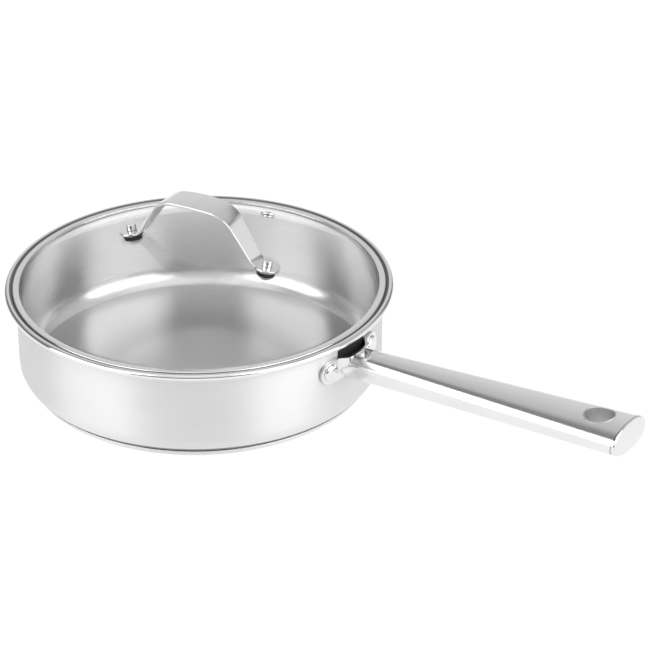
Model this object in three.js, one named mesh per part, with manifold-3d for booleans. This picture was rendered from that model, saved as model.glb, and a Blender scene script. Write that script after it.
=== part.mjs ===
// Saute pan with a domed glass lid. Millimetres, +Z up, the long handle along +X.
// The origin is on the table, under the middle of the pan.
import * as THREE from 'three';
import { mergeVertices } from 'three/addons/utils/BufferGeometryUtils.js';
import Module from 'manifold-3d';

const wasm = await Module();
wasm.setup();

// Fits
const seatGap = 0.3;              // between two pieces that rest on each other
const pinClearance = 0.3;         // round a rivet or screw in its hole

// Drawn vessel
const bodyInnerRadius = 120;      // inside of the straight wall
const bodyWall = 0.8;             // sheet thickness
const bodyHeight = 68.4;          // table to the middle of the lip's sheet
const lipReach = 7.3;             // lip's rolled edge beyond the wall's outside
const beadRadius = 2.2;           // roll of that edge
const beadTurn = 225;             // degrees that it is rolled through
const flareHeight = 9.8;          // height of the curve that turns the wall into the lip
const cornerRadius = 14;          // outside radius between floor and wall

// Capsule base
const capSheet = 0.7;             // steel of the capsule
const capCorner = 9;              // outside radius of its edge
const capInset = 5.6;             // its side, inside the vessel's wall
const coreThickness = 3.3;        // aluminium disc
const coreInset = 2;              // disc's edge, inside the capsule's flat

// Handle bracket and its rivets
const bracketSheet = 1.8;
const lobeRadius = 7.9;           // round lobe about each rivet
const rivetSpacing = 46;          // between the two rivets, across the handle
const rivetDrop = 20.6;           // rivets below the lip
const rivetRadius = 3;
const rivetHeadReach = 2.9;       // domed head outside, beyond the shank
const rivetHeadHeight = 2.6;
const innerHeadReach = 2.5;       // flat head inside the pan, beyond the shank
const innerHeadHeight = 1.2;
const innerHeadChamfer = 0.6;
const saddleStandoff = 4;         // saddle's upper edge between the lobes, out from the wall
const saddleMargin = 1.3;         // its straight part inside each side of the handle
const ridgeProud = 8.9;           // saddle's upper edge above the handle's middle line
const pocketDepth = 6;            // open pocket behind that edge
const spigotGrip = 5;             // stub inside the handle, beyond the end of its slot

// Hollow oval handle, measured along its middle line from the vessel's wall
const handleLength = 202;
const handleSlope = 3.55;         // degrees that it rises outward
const handleDrop = 22.8;          // middle line below the lip, at the wall
const rootWidth = 21;
const endWidth = 40;
const rootThickness = 20.2;
const endThickness = 19.6;
const handleFullness = 2.2;       // 2 is a plain ellipse, more is squarer
const handleWall = 1.5;
const endLean = 0.16;             // lean of the tube's free end, outward for each unit up
const faceLean = -0.02;           // the same of the cap's outer face
const scoopLength = 20;           // open slot in the top, from the wall
const scoopWidth = 11;
const scoopDepth = 8;             // bowl in the spigot, below the crown of the handle
const tongueReach = 4;            // round tongue of the top wall, out into the slot
const railDip = 3;                // how far the crown falls towards the saddle
const railDipRadius = 22;
const endCapSkirt = 1.4;          // straight part of the cap in the free end
const endCapRound = 1.6;          // rounding of its outer face
const plugLength = 7;
const holeSetback = 21.1;         // centre of the hanging hole from the free end
const holeRadius = 9.3;           // clear bore of the hanging hole
const sleeveWall = 0.8;
const sleeveProud = 0.4;          // rolled rims beyond the handle's skin

// Lid glass and its band
const lidTurn = 5;                // degrees that the lid lies turned on the pan
const glassThickness = 3.6;
const domeRise = 26.5;
const bandSetback = 5.2;          // band's outside from the lip's edge
const bandSheet = 0.6;
const bandProud = 0.2;            // band's top above the middle of the lip's sheet
const lipCover = 0.9;             // how far the band's lips reach over the glass
const domeSetback = 0.6;          // flat margin of glass inside the band's lips

// Steam vent
const ventInset = 37.9;           // from the band's outside
const ventTurn = -1.8;            // degrees from the middle between the feet
const ventBoreRadius = 2;
const ventWall = 1.2;
const ventFlangeReach = 1.8;      // flange beyond the neck
const ventFlangeHeight = 0.8;
const ventChamfer = 0.7;

// Lid handle
const footSpacing = 102.8;        // between the two feet's screws
const footRadius = 8.5;
const strapThickness = 2;
const gripRise = 37.4;            // top of the grip over the glass at the feet
const gripWidth = 22;
const waistWidth = 13;            // at the foot of each leg
const footRun = 7.4;              // from a foot's screw to the bend of its leg
const crownDrop = 2.1;            // fall of the crown from middle to shoulder
const legRun = 20;                // horizontal run of a leg
const crownRadius = 110;
const shoulderRadius = 20;
const footBendRadius = 9;

// What each foot is screwed down with
const screwRadius = 2;
const screwHeadReach = 2;         // head beyond the shank
const screwHeadHeight = 2.2;
const screwHeadChamfer = 1;
const slotWidth = 1;
const slotDepth = 1;
const nutWall = 1;
const nutCrown = 1.5;             // closed end of the nut
const nutChamfer = 0.7;
const threadLength = 2.6;         // screw inside its nut
const footGasketRadius = 7.4;
const footGasketThickness = 0.6;
const collarWall = 1.1;           // bush of the gasket, in the glass
const collarShort = 0.6;          // bush's end above the underside of the glass
const ringRadius = 6;             // soft ring and washer under the glass
const underGasketThickness = 1;
const washerThickness = 0.8;

// How finely round shapes are divided
const turnSteps = 64;
const boreSteps = 32;
const smallTurnSteps = 16;
const arcTolerance = 0.12;        // how far a chord may leave its arc
const ovalSteps = 36;             // round the handle
const roundSteps = 3;             // along a domed or rounded end
const domeSteps = 7;
const flareSteps = 4;
const beadSteps = 6;
const bandSteps = 2;
const saddleSteps = 36;

// Levels that follow from the sizes above
const floorUnderside = capSheet + coreThickness + 2 * seatGap;
const bodyOuterRadius = bodyInnerRadius + bodyWall;
const wallMiddle = bodyInnerRadius + bodyWall / 2;
const flareStart = bodyHeight - flareHeight;
const beadCentre = bodyOuterRadius + lipReach - beadRadius;
const flareReach = beadCentre - wallMiddle;
const plateInner = bodyOuterRadius + seatGap;
const plateOuter = plateInner + bracketSheet;
const saddleOuter = plateOuter + saddleStandoff;
const rivetHeight = bodyHeight - rivetDrop;
const rivetHeadRadius = rivetRadius + rivetHeadReach;
const handleHeight = bodyHeight - handleDrop;
const ridgeHeight = handleHeight + ridgeProud;
const pocketFloor = ridgeHeight - pocketDepth;
const bandRadius = bodyOuterRadius + lipReach - bandSetback;
const ventReach = bandRadius - ventInset;
const bandTop = bodyHeight + bandProud;
const glassTop = bandTop - bandSheet - seatGap;
const glassBottom = glassTop - glassThickness;
const bandBottom = glassBottom - seatGap - bandSheet;
const well = 2 * bodyHeight;      // taller than the pan, for cutters

const vec = (x, y) => new THREE.Vector2(x, y);

// A closed solid from a three.js geometry, its faces turned outward
function solid(geometry) {
  const bare = geometry.clone();
  bare.deleteAttribute('normal');
  bare.deleteAttribute('uv');
  const welded = mergeVertices(bare, 1e-4);
  const points = welded.getAttribute('position').array;
  const corners = welded.index.array;
  const at = (i) => new THREE.Vector3().fromArray(points, 3 * i);
  const triangles = [];
  let volume = 0;
  for (let i = 0; i < corners.length; i += 3) {
    const [a, b, c] = corners.slice(i, i + 3);
    if (a === b || b === c || c === a) continue;
    triangles.push([a, b, c]);
    volume += at(a).dot(at(b).cross(at(c)));
  }
  const outward = volume > 0 ? triangles : triangles.map(([a, b, c]) => [a, c, b]);
  return new wasm.Manifold(new wasm.Mesh({
    numProp: 3,
    vertProperties: new Float32Array(points),
    triVerts: new Uint32Array(outward.flat()),
  }));
}

// A named mesh from a solid
function piece(name, body, color, roughness, metalness) {
  const mesh = body.getMesh();
  const geometry = new THREE.BufferGeometry();
  geometry.setAttribute('position', new THREE.BufferAttribute(mesh.vertProperties, 3));
  geometry.setIndex(new THREE.BufferAttribute(mesh.triVerts, 1));
  geometry.computeVertexNormals();
  const material = new THREE.MeshStandardMaterial({ color, roughness, metalness });
  const part = new THREE.Mesh(geometry, material);
  part.name = name;
  return part;
}

const polishedSteel = (name, body) => piece(name, body, 0xe3e3e5, 0.08, 1);
const satinSteel = (name, body) => piece(name, body, 0xc4c4c6, 0.35, 1);
const blackSilicone = (name, body) => piece(name, body, 0x18181a, 0.7, 0);

// A path through corners, each rounded by its own radius where its sides leave room
function roundedPath(corners) {
  const sides = corners.slice(1).map(({ at }, i) => at.clone().sub(corners[i].at));
  const turns = corners.map(({ radius }, i) => (radius ? sides[i - 1].angleTo(sides[i]) : 0));
  const tangents = corners.map(({ radius }, i) => (radius ? radius * Math.tan(turns[i] / 2) : 0));
  const shareOf = (side) => sides[side].length() / (tangents[side] + tangents[side + 1]);
  const path = [];
  corners.forEach(({ at, radius }, i) => {
    if (!radius) {
      path.push(at.clone());
      return;
    }
    const share = Math.min(1, shareOf(i - 1), shareOf(i));
    const round = radius * share;
    const into = sides[i - 1].clone().normalize();
    const way = Math.sign(into.cross(sides[i]));
    const start = at.clone().addScaledVector(into, -tangents[i] * share);
    const centre = start.clone().addScaledVector(vec(-into.y, into.x), way * round);
    const chord = 2 * Math.acos(Math.max(0, 1 - arcTolerance / round));
    const count = Math.ceil(turns[i] / chord);
    for (let step = 0; step <= count; step += 1) {
      path.push(start.clone().rotateAround(centre, way * turns[i] * step / count));
    }
  });
  return path;
}

// A path moved sideways, to its left
const setOff = (path, distance) => path.map((point, i) => {
  const before = path[Math.max(i - 1, 0)];
  const after = path[Math.min(i + 1, path.length - 1)];
  const along = after.clone().sub(before).normalize();
  return point.clone().addScaledVector(vec(-along.y, along.x), distance);
});

// Outline of a sheet of even thickness along a path
const sheetOutline = (path, thickness) => [
  ...setOff(path, thickness / 2),
  ...setOff(path, -thickness / 2).reverse(),
];

// A turned solid about Z. The profile is (radius, height) and closes on itself or on the axis
function turned(profile, steps = turnSteps) {
  const onAxis = profile[0].x === 0 && profile[profile.length - 1].x === 0;
  const points = onAxis ? profile : [...profile, profile[0]];
  return solid(new THREE.LatheGeometry(points, steps).rotateX(Math.PI / 2));
}

// A turned solid that fills the axis, from levels given as [radius, height]
function spindle(levels, steps = smallTurnSteps) {
  const points = levels.map(([radius, height]) => vec(radius, height));
  return turned([vec(0, levels[0][1]), ...points, vec(0, levels[levels.length - 1][1])], steps);
}

// Levels of a quarter round from a side at a radius to a top, both reached at the ends
const quarterRound = (radius, low, across, up) => Array.from({ length: roundSteps + 1 }, (_, i) => {
  const angle = Math.PI / 2 * i / roundSteps;
  return [radius - across * (1 - Math.cos(angle)), low + up * Math.sin(angle)];
});

// A turned ring from levels given as [radius, height]
const ring = (levels, steps = smallTurnSteps) => turned(levels.map(([r, h]) => vec(r, h)), steps);

// A plain cylinder along Z between two heights
const rod = (radius, low, high, steps) => spindle([[radius, low], [radius, high]], steps);

// A flat outline in X and Y made thick between two heights
function slab(shape, low, high) {
  const geometry = new THREE.ExtrudeGeometry(shape, {
    depth: high - low,
    bevelEnabled: false,
    curveSegments: smallTurnSteps,
  });
  return solid(geometry.translate(0, 0, low));
}

function placed(body, matrix) {
  return body.transform(matrix.elements);
}

// The flare of the rim, set off by a distance from the middle of its sheet towards the lid.
// The angle runs from 0 at the wall to a right angle at the lip
function flareAt(angle, distance) {
  const point = vec(
    wallMiddle + flareReach * (1 - Math.cos(angle)),
    flareStart + flareHeight * Math.sin(angle),
  );
  const normal = vec(-flareHeight * Math.cos(angle), flareReach * Math.sin(angle)).normalize();
  return point.addScaledVector(normal, distance);
}

// The flare's angle where the set-off curve first reaches a height or a radius
function flareAngle(axis, value, distance) {
  let low = 0;
  let high = Math.PI / 2;
  for (let halving = 0; halving < 40; halving += 1) {
    const middle = (low + high) / 2;
    if (flareAt(middle, distance)[axis] < value) low = middle;
    else high = middle;
  }
  return low;
}

function flareRun(from, to, distance, steps) {
  const angles = Array.from({ length: steps + 1 }, (_, i) => from + (to - from) * i / steps);
  return angles.map((angle) => flareAt(angle, distance));
}

// Vessel: floor, corner and wall in one sheet, turned out into the lip, whose edge is rolled under
const rivetAngle = Math.asin(rivetSpacing / 2 / plateOuter);

function rivetPlace(side) {
  const turn = new THREE.Matrix4().makeRotationZ(side * rivetAngle);
  const lay = new THREE.Matrix4().makeRotationY(Math.PI / 2);
  return new THREE.Matrix4().makeTranslation(0, 0, rivetHeight).multiply(turn).multiply(lay);
}

function drillRivetHoles(body) {
  const drill = rod(rivetRadius + pinClearance, bodyInnerRadius / 2, 2 * plateOuter);
  return [-1, 1].reduce((left, side) => left.subtract(placed(drill, rivetPlace(side))), body);
}

function makeBody() {
  const floorMiddle = floorUnderside + bodyWall / 2;
  const wall = roundedPath([
    { at: vec(0, floorMiddle) },
    { at: vec(wallMiddle, floorMiddle), radius: cornerRadius - bodyWall / 2 },
    { at: vec(wallMiddle, flareStart) },
  ]);
  const path = [...wall, ...flareRun(0, Math.PI / 2, 0, flareSteps).slice(1)];
  const middle = vec(beadCentre, bodyHeight + bodyWall / 2 - beadRadius);
  const top = vec(beadCentre, bodyHeight + bodyWall / 2);
  const bead = Array.from({ length: beadSteps }, (_, i) => {
    const angle = THREE.MathUtils.degToRad(beadTurn) * (i + 1) / beadSteps;
    return top.clone().rotateAround(middle, -angle);
  });
  const inside = setOff(path, bodyWall / 2);
  const outside = setOff(path, -bodyWall / 2).slice(0, -1);
  return drillRivetHoles(turned([...inside, ...bead, ...outside.reverse()]));
}

// Capsule base: a dish trimmed against the vessel's corner, and the disc inside it
const capRadius = bodyOuterRadius - capInset;

function makeCap() {
  const middle = capSheet / 2;
  const dish = roundedPath([
    { at: vec(0, middle) },
    { at: vec(capRadius - middle, middle), radius: capCorner - middle },
    { at: vec(capRadius - middle, floorUnderside + cornerRadius) },
  ]);
  const above = roundedPath([
    { at: vec(0, floorUnderside - seatGap) },
    { at: vec(bodyOuterRadius + seatGap, floorUnderside - seatGap), radius: cornerRadius + seatGap },
    { at: vec(bodyOuterRadius + seatGap, well) },
    { at: vec(0, well) },
  ]);
  return turned(sheetOutline(dish, capSheet)).subtract(turned(above));
}

const makeCore = () => rod(
  capRadius - capCorner - coreInset,
  capSheet + seatGap,
  floorUnderside - seatGap,
  turnSteps,
);

// Handle: its own frame has X along the middle line and Z up across it, and starts at the wall
const handleFrame = new THREE.Matrix4()
  .makeTranslation(bodyOuterRadius, 0, handleHeight)
  .multiply(new THREE.Matrix4().makeRotationY(-THREE.MathUtils.degToRad(handleSlope)));

// Oval cross-section of the handle at a distance from the wall, drawn in by an inset
function handleSection(x, inset, lean = 0) {
  const share = x / handleLength;
  const halfWidth = THREE.MathUtils.lerp(rootWidth, endWidth, share) / 2 - inset;
  const halfHeight = THREE.MathUtils.lerp(rootThickness, endThickness, share) / 2 - inset;
  const filled = (value) => Math.sign(value) * Math.abs(value) ** (2 / handleFullness);
  return Array.from({ length: ovalSteps }, (_, i) => {
    const angle = 2 * Math.PI * i / ovalSteps;
    const up = halfHeight * filled(Math.sin(angle));
    return new THREE.Vector3(x + lean * up, halfWidth * filled(Math.cos(angle)), up);
  });
}

// A closed solid through cross-sections with the same number of points
function loft(sections) {
  const count = sections[0].length;
  const corners = [];
  for (let s = 0; s + 1 < sections.length; s += 1) {
    for (let i = 0; i < count; i += 1) {
      const here = s * count + i;
      const next = s * count + (i + 1) % count;
      corners.push(here, next, next + count, here, next + count, here + count);
    }
  }
  const last = (sections.length - 1) * count;
  for (let i = 1; i + 1 < count; i += 1) {
    corners.push(0, i + 1, i, last, last + i, last + i + 1);
  }
  const geometry = new THREE.BufferGeometry().setFromPoints(sections.flat());
  geometry.setIndex(corners);
  return solid(geometry);
}

const handleLoft = (from, to, inset, lean) => placed(
  loft([handleSection(from, inset), handleSection(to, inset, lean)]),
  handleFrame,
);

const capStart = handleLength - endCapRound - endCapSkirt;
const tubeEnd = capStart - seatGap;
const rootOverlap = -lobeRadius;  // the handle is drawn from inside the wall and trimmed there
const holeCentre = handleLength - holeSetback;
const sleeveRadius = holeRadius + sleeveWall;
const saddleReach = saddleOuter - bodyOuterRadius;

// Frame of the hanging hole
const across = handleFrame.clone().multiply(new THREE.Matrix4().makeTranslation(holeCentre, 0, 0));

// Plan of the bracket's middle line, round with the wall and off it between the lobes
const lobe = rivetSpacing / 2;
const bracketReach = lobe + 2 * lobeRadius;

function bracketLine(standoff) {
  const straight = rootWidth / 2 - saddleMargin;
  const blended = lobe - rivetHeadRadius - seatGap;
  return Array.from({ length: saddleSteps + 1 }, (_, i) => {
    const y = bracketReach * (2 * i / saddleSteps - 1);
    const lift = 1 - THREE.MathUtils.smoothstep(Math.abs(y), straight, blended);
    const radius = plateInner + bracketSheet / 2 + standoff * lift;
    return vec(Math.sqrt(radius ** 2 - y ** 2), y);
  });
}

const wallLine = bracketLine(0);
const saddleLine = bracketLine(saddleStandoff);

// Room on the pan's side of such a line, set off outward by a distance and open above
function roomBehind(line, distance, low) {
  const edge = setOff(line, -distance);
  return slab(new THREE.Shape([vec(0, -bracketReach), ...edge, vec(0, bracketReach)]), low, well);
}

// Valley across the handle behind the saddle, where the slot's rails fall
function makeRailDip() {
  const lay = new THREE.Matrix4().makeRotationX(Math.PI / 2);
  const height = rootThickness / 2 + railDipRadius - railDip;
  const raise = new THREE.Matrix4().makeTranslation(saddleReach, 0, height);
  return placed(rod(railDipRadius, -endWidth, endWidth, turnSteps), raise.multiply(lay));
}

// Slot through the top wall, with a round tongue of that wall reaching into its end
function makeSlot() {
  const half = scoopWidth / 2;
  const outline = new THREE.Shape();
  outline.moveTo(rootOverlap, -half);
  outline.lineTo(scoopLength, -half);
  outline.quadraticCurveTo(scoopLength - 2 * tongueReach, 0, scoopLength, half);
  outline.lineTo(rootOverlap, half);
  return slab(outline, 0, rootThickness);
}

// Bowl under the slot, as wide and as long as the slot
function makeBowl() {
  const halfLength = (scoopLength - saddleReach) / 2;
  const bowl = new THREE.SphereGeometry(1, smallTurnSteps, smallTurnSteps / 2);
  bowl.scale(halfLength, scoopWidth / 2, scoopDepth);
  return solid(bowl.translate(saddleReach + halfLength, 0, rootThickness / 2));
}

function makeTube() {
  const outer = handleLoft(rootOverlap, tubeEnd, 0, endLean);
  const hollow = handleLoft(rootOverlap - handleWall, tubeEnd + handleWall, handleWall, endLean);
  const clear = bracketSheet / 2 + seatGap;
  const bore = rod(sleeveRadius + seatGap, -well, well, boreSteps);
  return outer
    .subtract(hollow)
    .subtract(roomBehind(wallLine, clear, -well))
    .subtract(roomBehind(saddleLine, clear, pocketFloor - seatGap))
    .subtract(placed(makeSlot().add(makeRailDip()), handleFrame))
    .subtract(placed(bore, across));
}

// Sleeve through the hanging hole, a little proud of the handle at both ends
function makeSleeve() {
  const tube = ring([
    [holeRadius, -well],
    [sleeveRadius, -well],
    [sleeveRadius, well],
    [holeRadius, well],
  ], boreSteps);
  return placed(tube, across).intersect(handleLoft(0, handleLength, -sleeveProud));
}

// End cap: a rounded face the shape of the handle, on a plug inside it
function makeEndCap() {
  const roundStart = handleLength - endCapRound;
  const rounding = quarterRound(0, roundStart, endCapRound, endCapRound);
  const lean = (x) => THREE.MathUtils.mapLinear(x, capStart, handleLength, endLean, faceLean);
  const face = loft([
    handleSection(capStart, 0, endLean),
    ...rounding.map(([inset, x]) => handleSection(x, -inset, lean(x))),
  ]);
  const plug = handleLoft(tubeEnd - plugLength, roundStart, handleWall + seatGap, endLean);
  const opening = rod(sleeveRadius + seatGap, -well, well, boreSteps);
  return placed(face, handleFrame).add(plug).subtract(placed(opening, across));
}

// Space that the vessel takes, with half a gap round it
function vesselSpace() {
  const out = -(bodyWall + seatGap) / 2;
  const flare = flareRun(0, Math.PI / 2, out, flareSteps);
  return turned([vec(0, 0), vec(flare[0].x, 0), ...flare, vec(0, flare[flareSteps].y)]);
}

// Bracket: two lobes bent to the wall, an upper edge between them that stands off it
// in front of an open pocket, and a spigot inside the handle
function makeBracket() {
  const strip = (line, low) => slab(new THREE.Shape(sheetOutline(line, bracketSheet)), low, well);
  const ridge = ridgeHeight - rivetHeight;
  const front = new THREE.Shape();
  front.absarc(lobe, 0, lobeRadius, -Math.PI / 2, Math.PI / 2, false);
  front.bezierCurveTo(lobe / 2, lobeRadius, lobe / 2, ridge, 0, ridge);
  front.bezierCurveTo(-lobe / 2, ridge, -lobe / 2, lobeRadius, -lobe, lobeRadius);
  front.absarc(-lobe, 0, lobeRadius, Math.PI / 2, 3 * Math.PI / 2, false);
  const stand = new THREE.Matrix4().makeBasis(
    new THREE.Vector3(0, 1, 0),
    new THREE.Vector3(0, 0, 1),
    new THREE.Vector3(1, 0, 0),
  ).setPosition(0, 0, rivetHeight);
  const plate = strip(wallLine, -well)
    .subtract(roomBehind(saddleLine, -bracketSheet / 2, pocketFloor))
    .add(strip(saddleLine, pocketFloor))
    .intersect(placed(slab(front, 0, 2 * saddleOuter), stand))
    .subtract(vesselSpace());

  const spigot = handleLoft(rootOverlap, scoopLength + spigotGrip, handleWall + seatGap)
    .subtract(roomBehind(wallLine, 0, -well))
    .subtract(roomBehind(saddleLine, 0, pocketFloor))
    .subtract(placed(makeBowl().add(makeRailDip()), handleFrame));
  return drillRivetHoles(plate.add(spigot));
}

// Rivet along the wall's normal: height is the distance from the pan's axis
function makeRivet() {
  const innerHeadRadius = rivetRadius + innerHeadReach;
  const headFace = Math.sqrt(bodyInnerRadius ** 2 - innerHeadRadius ** 2) - seatGap;
  const headSeat = plateOuter + seatGap;
  return spindle([
    [innerHeadRadius - innerHeadChamfer, headFace - innerHeadHeight],
    [innerHeadRadius, headFace - innerHeadHeight + innerHeadChamfer],
    [innerHeadRadius, headFace],
    [rivetRadius, headFace],
    [rivetRadius, headSeat],
    ...quarterRound(rivetHeadRadius, headSeat, rivetHeadRadius, rivetHeadHeight).slice(0, -1),
    [0, headSeat + rivetHeadHeight],
  ]);
}

// Radii of the glass and of the band's lips over it
const glassOffset = bodyWall / 2 + 2 * seatGap + bandSheet;
const glassRadius = flareAt(flareAngle('y', glassBottom, glassOffset), glassOffset).x;
const lipRadius = glassRadius - lipCover;

// Band: one folded sheet. It follows the flare, then stands up round the glass
function makeBand() {
  const middle = bandSheet / 2;
  const distance = bodyWall / 2 + seatGap + middle;
  const low = flareAngle('y', bandBottom + middle, distance);
  const high = flareAngle('x', bandRadius - middle, distance);
  const path = [
    vec(lipRadius, bandBottom + middle),
    ...flareRun(low, high, distance, bandSteps),
    ...roundedPath([
      { at: flareAt(high, distance) },
      { at: vec(bandRadius - middle, bandTop - middle), radius: bandSheet },
      { at: vec(lipRadius, bandTop - middle) },
    ]).slice(1),
  ];
  return turned(sheetOutline(path, bandSheet));
}

// Glass: a spherical dome on a flat margin
const domeRadius = lipRadius - domeSetback;
const domeSphere = (domeRadius ** 2 + domeRise ** 2) / (2 * domeRise);
const domeCentre = glassTop + domeRise - domeSphere;
const domeHeight = (radius) => domeCentre + Math.sqrt(domeSphere ** 2 - radius ** 2);

// Frame that stands on the dome, Z along the glass's normal
function onDome(x, y) {
  const radius = Math.hypot(x, y);
  const place = new THREE.Group();
  place.position.set(x, y, domeHeight(radius));
  const axis = new THREE.Vector3(-y, x, 0).normalize();
  place.quaternion.setFromAxisAngle(axis, Math.asin(radius / domeSphere));
  place.updateMatrix();
  return place;
}

const feet = { left: onDome(-footSpacing / 2, 0), right: onDome(footSpacing / 2, 0) };
const ventAngle = THREE.MathUtils.degToRad(90 + ventTurn);
const vent = onDome(ventReach * Math.cos(ventAngle), ventReach * Math.sin(ventAngle));

function makeGlass() {
  const underSphere = domeSphere - glassThickness;
  const underRadius = Math.sqrt(underSphere ** 2 - (glassBottom - domeCentre) ** 2);
  const arc = (radius, sphere) => Array.from({ length: domeSteps + 1 }, (_, i) => {
    const out = radius * i / domeSteps;
    return vec(out, domeCentre + Math.sqrt(sphere ** 2 - out ** 2));
  });
  const dome = turned([
    ...arc(domeRadius, domeSphere),
    vec(glassRadius, glassTop),
    vec(glassRadius, glassBottom),
    ...arc(underRadius, underSphere).reverse(),
  ]);
  const screwHole = rod(collarRadius + seatGap, -2 * glassThickness, glassThickness);
  const ventHole = rod(ventNeckRadius + seatGap, -2 * glassThickness, glassThickness);
  return dome
    .subtract(placed(screwHole, feet.left.matrix))
    .subtract(placed(screwHole, feet.right.matrix))
    .subtract(placed(ventHole, vent.matrix));
}

// Levels at a foot, along the glass's normal from its outer face
const strapUnder = 2 * seatGap + footGasketThickness;
const strapTop = strapUnder + strapThickness;
const nutUnder = strapTop + seatGap;
const ringTop = -glassThickness - seatGap;
const washerTop = ringTop - underGasketThickness - seatGap;
const headTop = washerTop - washerThickness - seatGap;
const boltHole = screwRadius + pinClearance;
const collarRadius = boltHole + collarWall;
const nutRadius = boltHole + nutWall;
const screwHeadRadius = screwRadius + screwHeadReach;
const threadEnd = nutUnder + threadLength;
const ventNeckRadius = ventBoreRadius + ventWall;

// Strap: a bent sheet trimmed to a grip that narrows to round feet
function makeStrap() {
  const half = footSpacing / 2;
  const tilt = Math.asin(half / domeSphere);
  const bend = half - footRun;
  const shoulder = bend - legRun;
  const footMiddle = vec(half, domeHeight(half))
    .addScaledVector(vec(Math.sin(tilt), Math.cos(tilt)), strapUnder + strapThickness / 2);
  const alongFoot = (x) => vec(x, footMiddle.y - (x - footMiddle.x) * Math.tan(tilt));
  const crown = domeHeight(half) + gripRise - strapThickness / 2;
  const rightHalf = [
    { at: vec(shoulder, crown - crownDrop), radius: shoulderRadius },
    { at: alongFoot(bend), radius: footBendRadius },
    { at: alongFoot(footMiddle.x + 2 * footRadius) },
  ];
  const leftHalf = rightHalf.map(({ at, radius }) => ({ at: vec(-at.x, at.y), radius })).reverse();
  const apex = { at: vec(0, crown), radius: crownRadius };
  const path = roundedPath([...leftHalf, apex, ...rightHalf]);
  const side = new THREE.Shape(sheetOutline(path, strapThickness));
  const stand = new THREE.Matrix4().makeRotationX(Math.PI / 2);
  const bent = placed(slab(side, -gripWidth, gripWidth), stand);

  const knee = shoulder + legRun / 2;
  const waist = waistWidth / 2;
  const grip = gripWidth / 2;
  const outline = new THREE.Shape();
  outline.moveTo(-half, -waist);
  outline.bezierCurveTo(-knee, -waist, -shoulder, -grip, 0, -grip);
  outline.bezierCurveTo(shoulder, -grip, knee, -waist, half, -waist);
  outline.lineTo(half, waist);
  outline.bezierCurveTo(knee, waist, shoulder, grip, 0, grip);
  outline.bezierCurveTo(-shoulder, grip, -knee, waist, -half, waist);
  const low = glassBottom;
  const high = crown + gripRise;
  const foot = (x) => rod(footRadius, low, high, boreSteps).translate(x, 0, 0);
  const plan = slab(outline, low, high)
    .add(foot(-footMiddle.x))
    .add(foot(footMiddle.x));
  const hole = rod(boltHole, 0, gripRise);
  return bent.intersect(plan)
    .subtract(placed(hole, feet.left.matrix))
    .subtract(placed(hole, feet.right.matrix));
}

// Stepped bush: a disc under the foot and a collar down the hole in the glass
const makeFootGasket = () => ring([
  [boltHole, collarShort - glassThickness],
  [collarRadius, collarShort - glassThickness],
  [collarRadius, seatGap],
  [footGasketRadius, seatGap],
  [footGasketRadius, seatGap + footGasketThickness],
  [boltHole, seatGap + footGasketThickness],
]);

const makeFlatRing = (top, thickness) => ring([
  [boltHole, top - thickness],
  [ringRadius, top - thickness],
  [ringRadius, top],
  [boltHole, top],
]);

const makeNut = () => ring([
  [boltHole, nutUnder],
  [nutRadius, nutUnder],
  [nutRadius, threadEnd + nutCrown - nutChamfer],
  [nutRadius - nutChamfer, threadEnd + nutCrown],
  [0, threadEnd + nutCrown],
  [0, threadEnd + pinClearance],
  [boltHole, threadEnd + pinClearance],
]);

function makeScrew() {
  const screw = spindle([
    [screwHeadRadius - screwHeadChamfer, headTop - screwHeadHeight],
    [screwHeadRadius, headTop - screwHeadHeight + screwHeadChamfer],
    [screwHeadRadius, headTop],
    [screwRadius, headTop],
    [screwRadius, threadEnd],
  ]);
  const slot = new THREE.BoxGeometry(3 * screwHeadRadius, slotWidth, 2 * slotDepth);
  return screw.subtract(solid(slot.translate(0, 0, headTop - screwHeadHeight)));
}

// Eyelet: a spool crimped through the vent hole
function makeEyelet() {
  const flangeRadius = ventNeckRadius + ventFlangeReach;
  return ring([
    [ventBoreRadius, ringTop - ventFlangeHeight],
    [flangeRadius, ringTop - ventFlangeHeight],
    [flangeRadius, ringTop],
    [ventNeckRadius, ringTop],
    [ventNeckRadius, seatGap],
    [flangeRadius, seatGap],
    [flangeRadius - ventChamfer, seatGap + ventFlangeHeight],
    [ventBoreRadius, seatGap + ventFlangeHeight],
  ]);
}

// Assembly
const pan = new THREE.Group();
pan.add(
  satinSteel('pan_body', makeBody()),
  piece('base_core', makeCore(), 0xb8babd, 0.5, 1),
  satinSteel('base_cap', makeCap()),
  polishedSteel('handle_bracket', makeBracket()),
  polishedSteel('handle_rivet_left', placed(makeRivet(), rivetPlace(1))),
  polishedSteel('handle_rivet_right', placed(makeRivet(), rivetPlace(-1))),
  satinSteel('handle_tube', makeTube()),
  polishedSteel('handle_end_cap', makeEndCap()),
  polishedSteel('hanging_sleeve', makeSleeve()),
);

const lid = new THREE.Group();
lid.rotation.z = THREE.MathUtils.degToRad(lidTurn);
lid.add(
  piece('lid_glass', makeGlass(), 0xeef4f2, 0.03, 0),
  polishedSteel('lid_band', makeBand()),
  satinSteel('lid_handle', makeStrap()),
);
for (const [side, foot] of Object.entries(feet)) {
  foot.add(
    polishedSteel(`lid_cap_nut_${side}`, makeNut()),
    blackSilicone(`lid_foot_gasket_${side}`, makeFootGasket()),
    blackSilicone(`lid_under_gasket_${side}`, makeFlatRing(ringTop, underGasketThickness)),
    polishedSteel(`lid_washer_${side}`, makeFlatRing(washerTop, washerThickness)),
    polishedSteel(`lid_screw_${side}`, makeScrew()),
  );
  lid.add(foot);
}
vent.add(polishedSteel('vent_eyelet', makeEyelet()));
lid.add(vent);

const sautePan = new THREE.Group();
sautePan.add(pan, lid);

export default sautePan;
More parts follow.
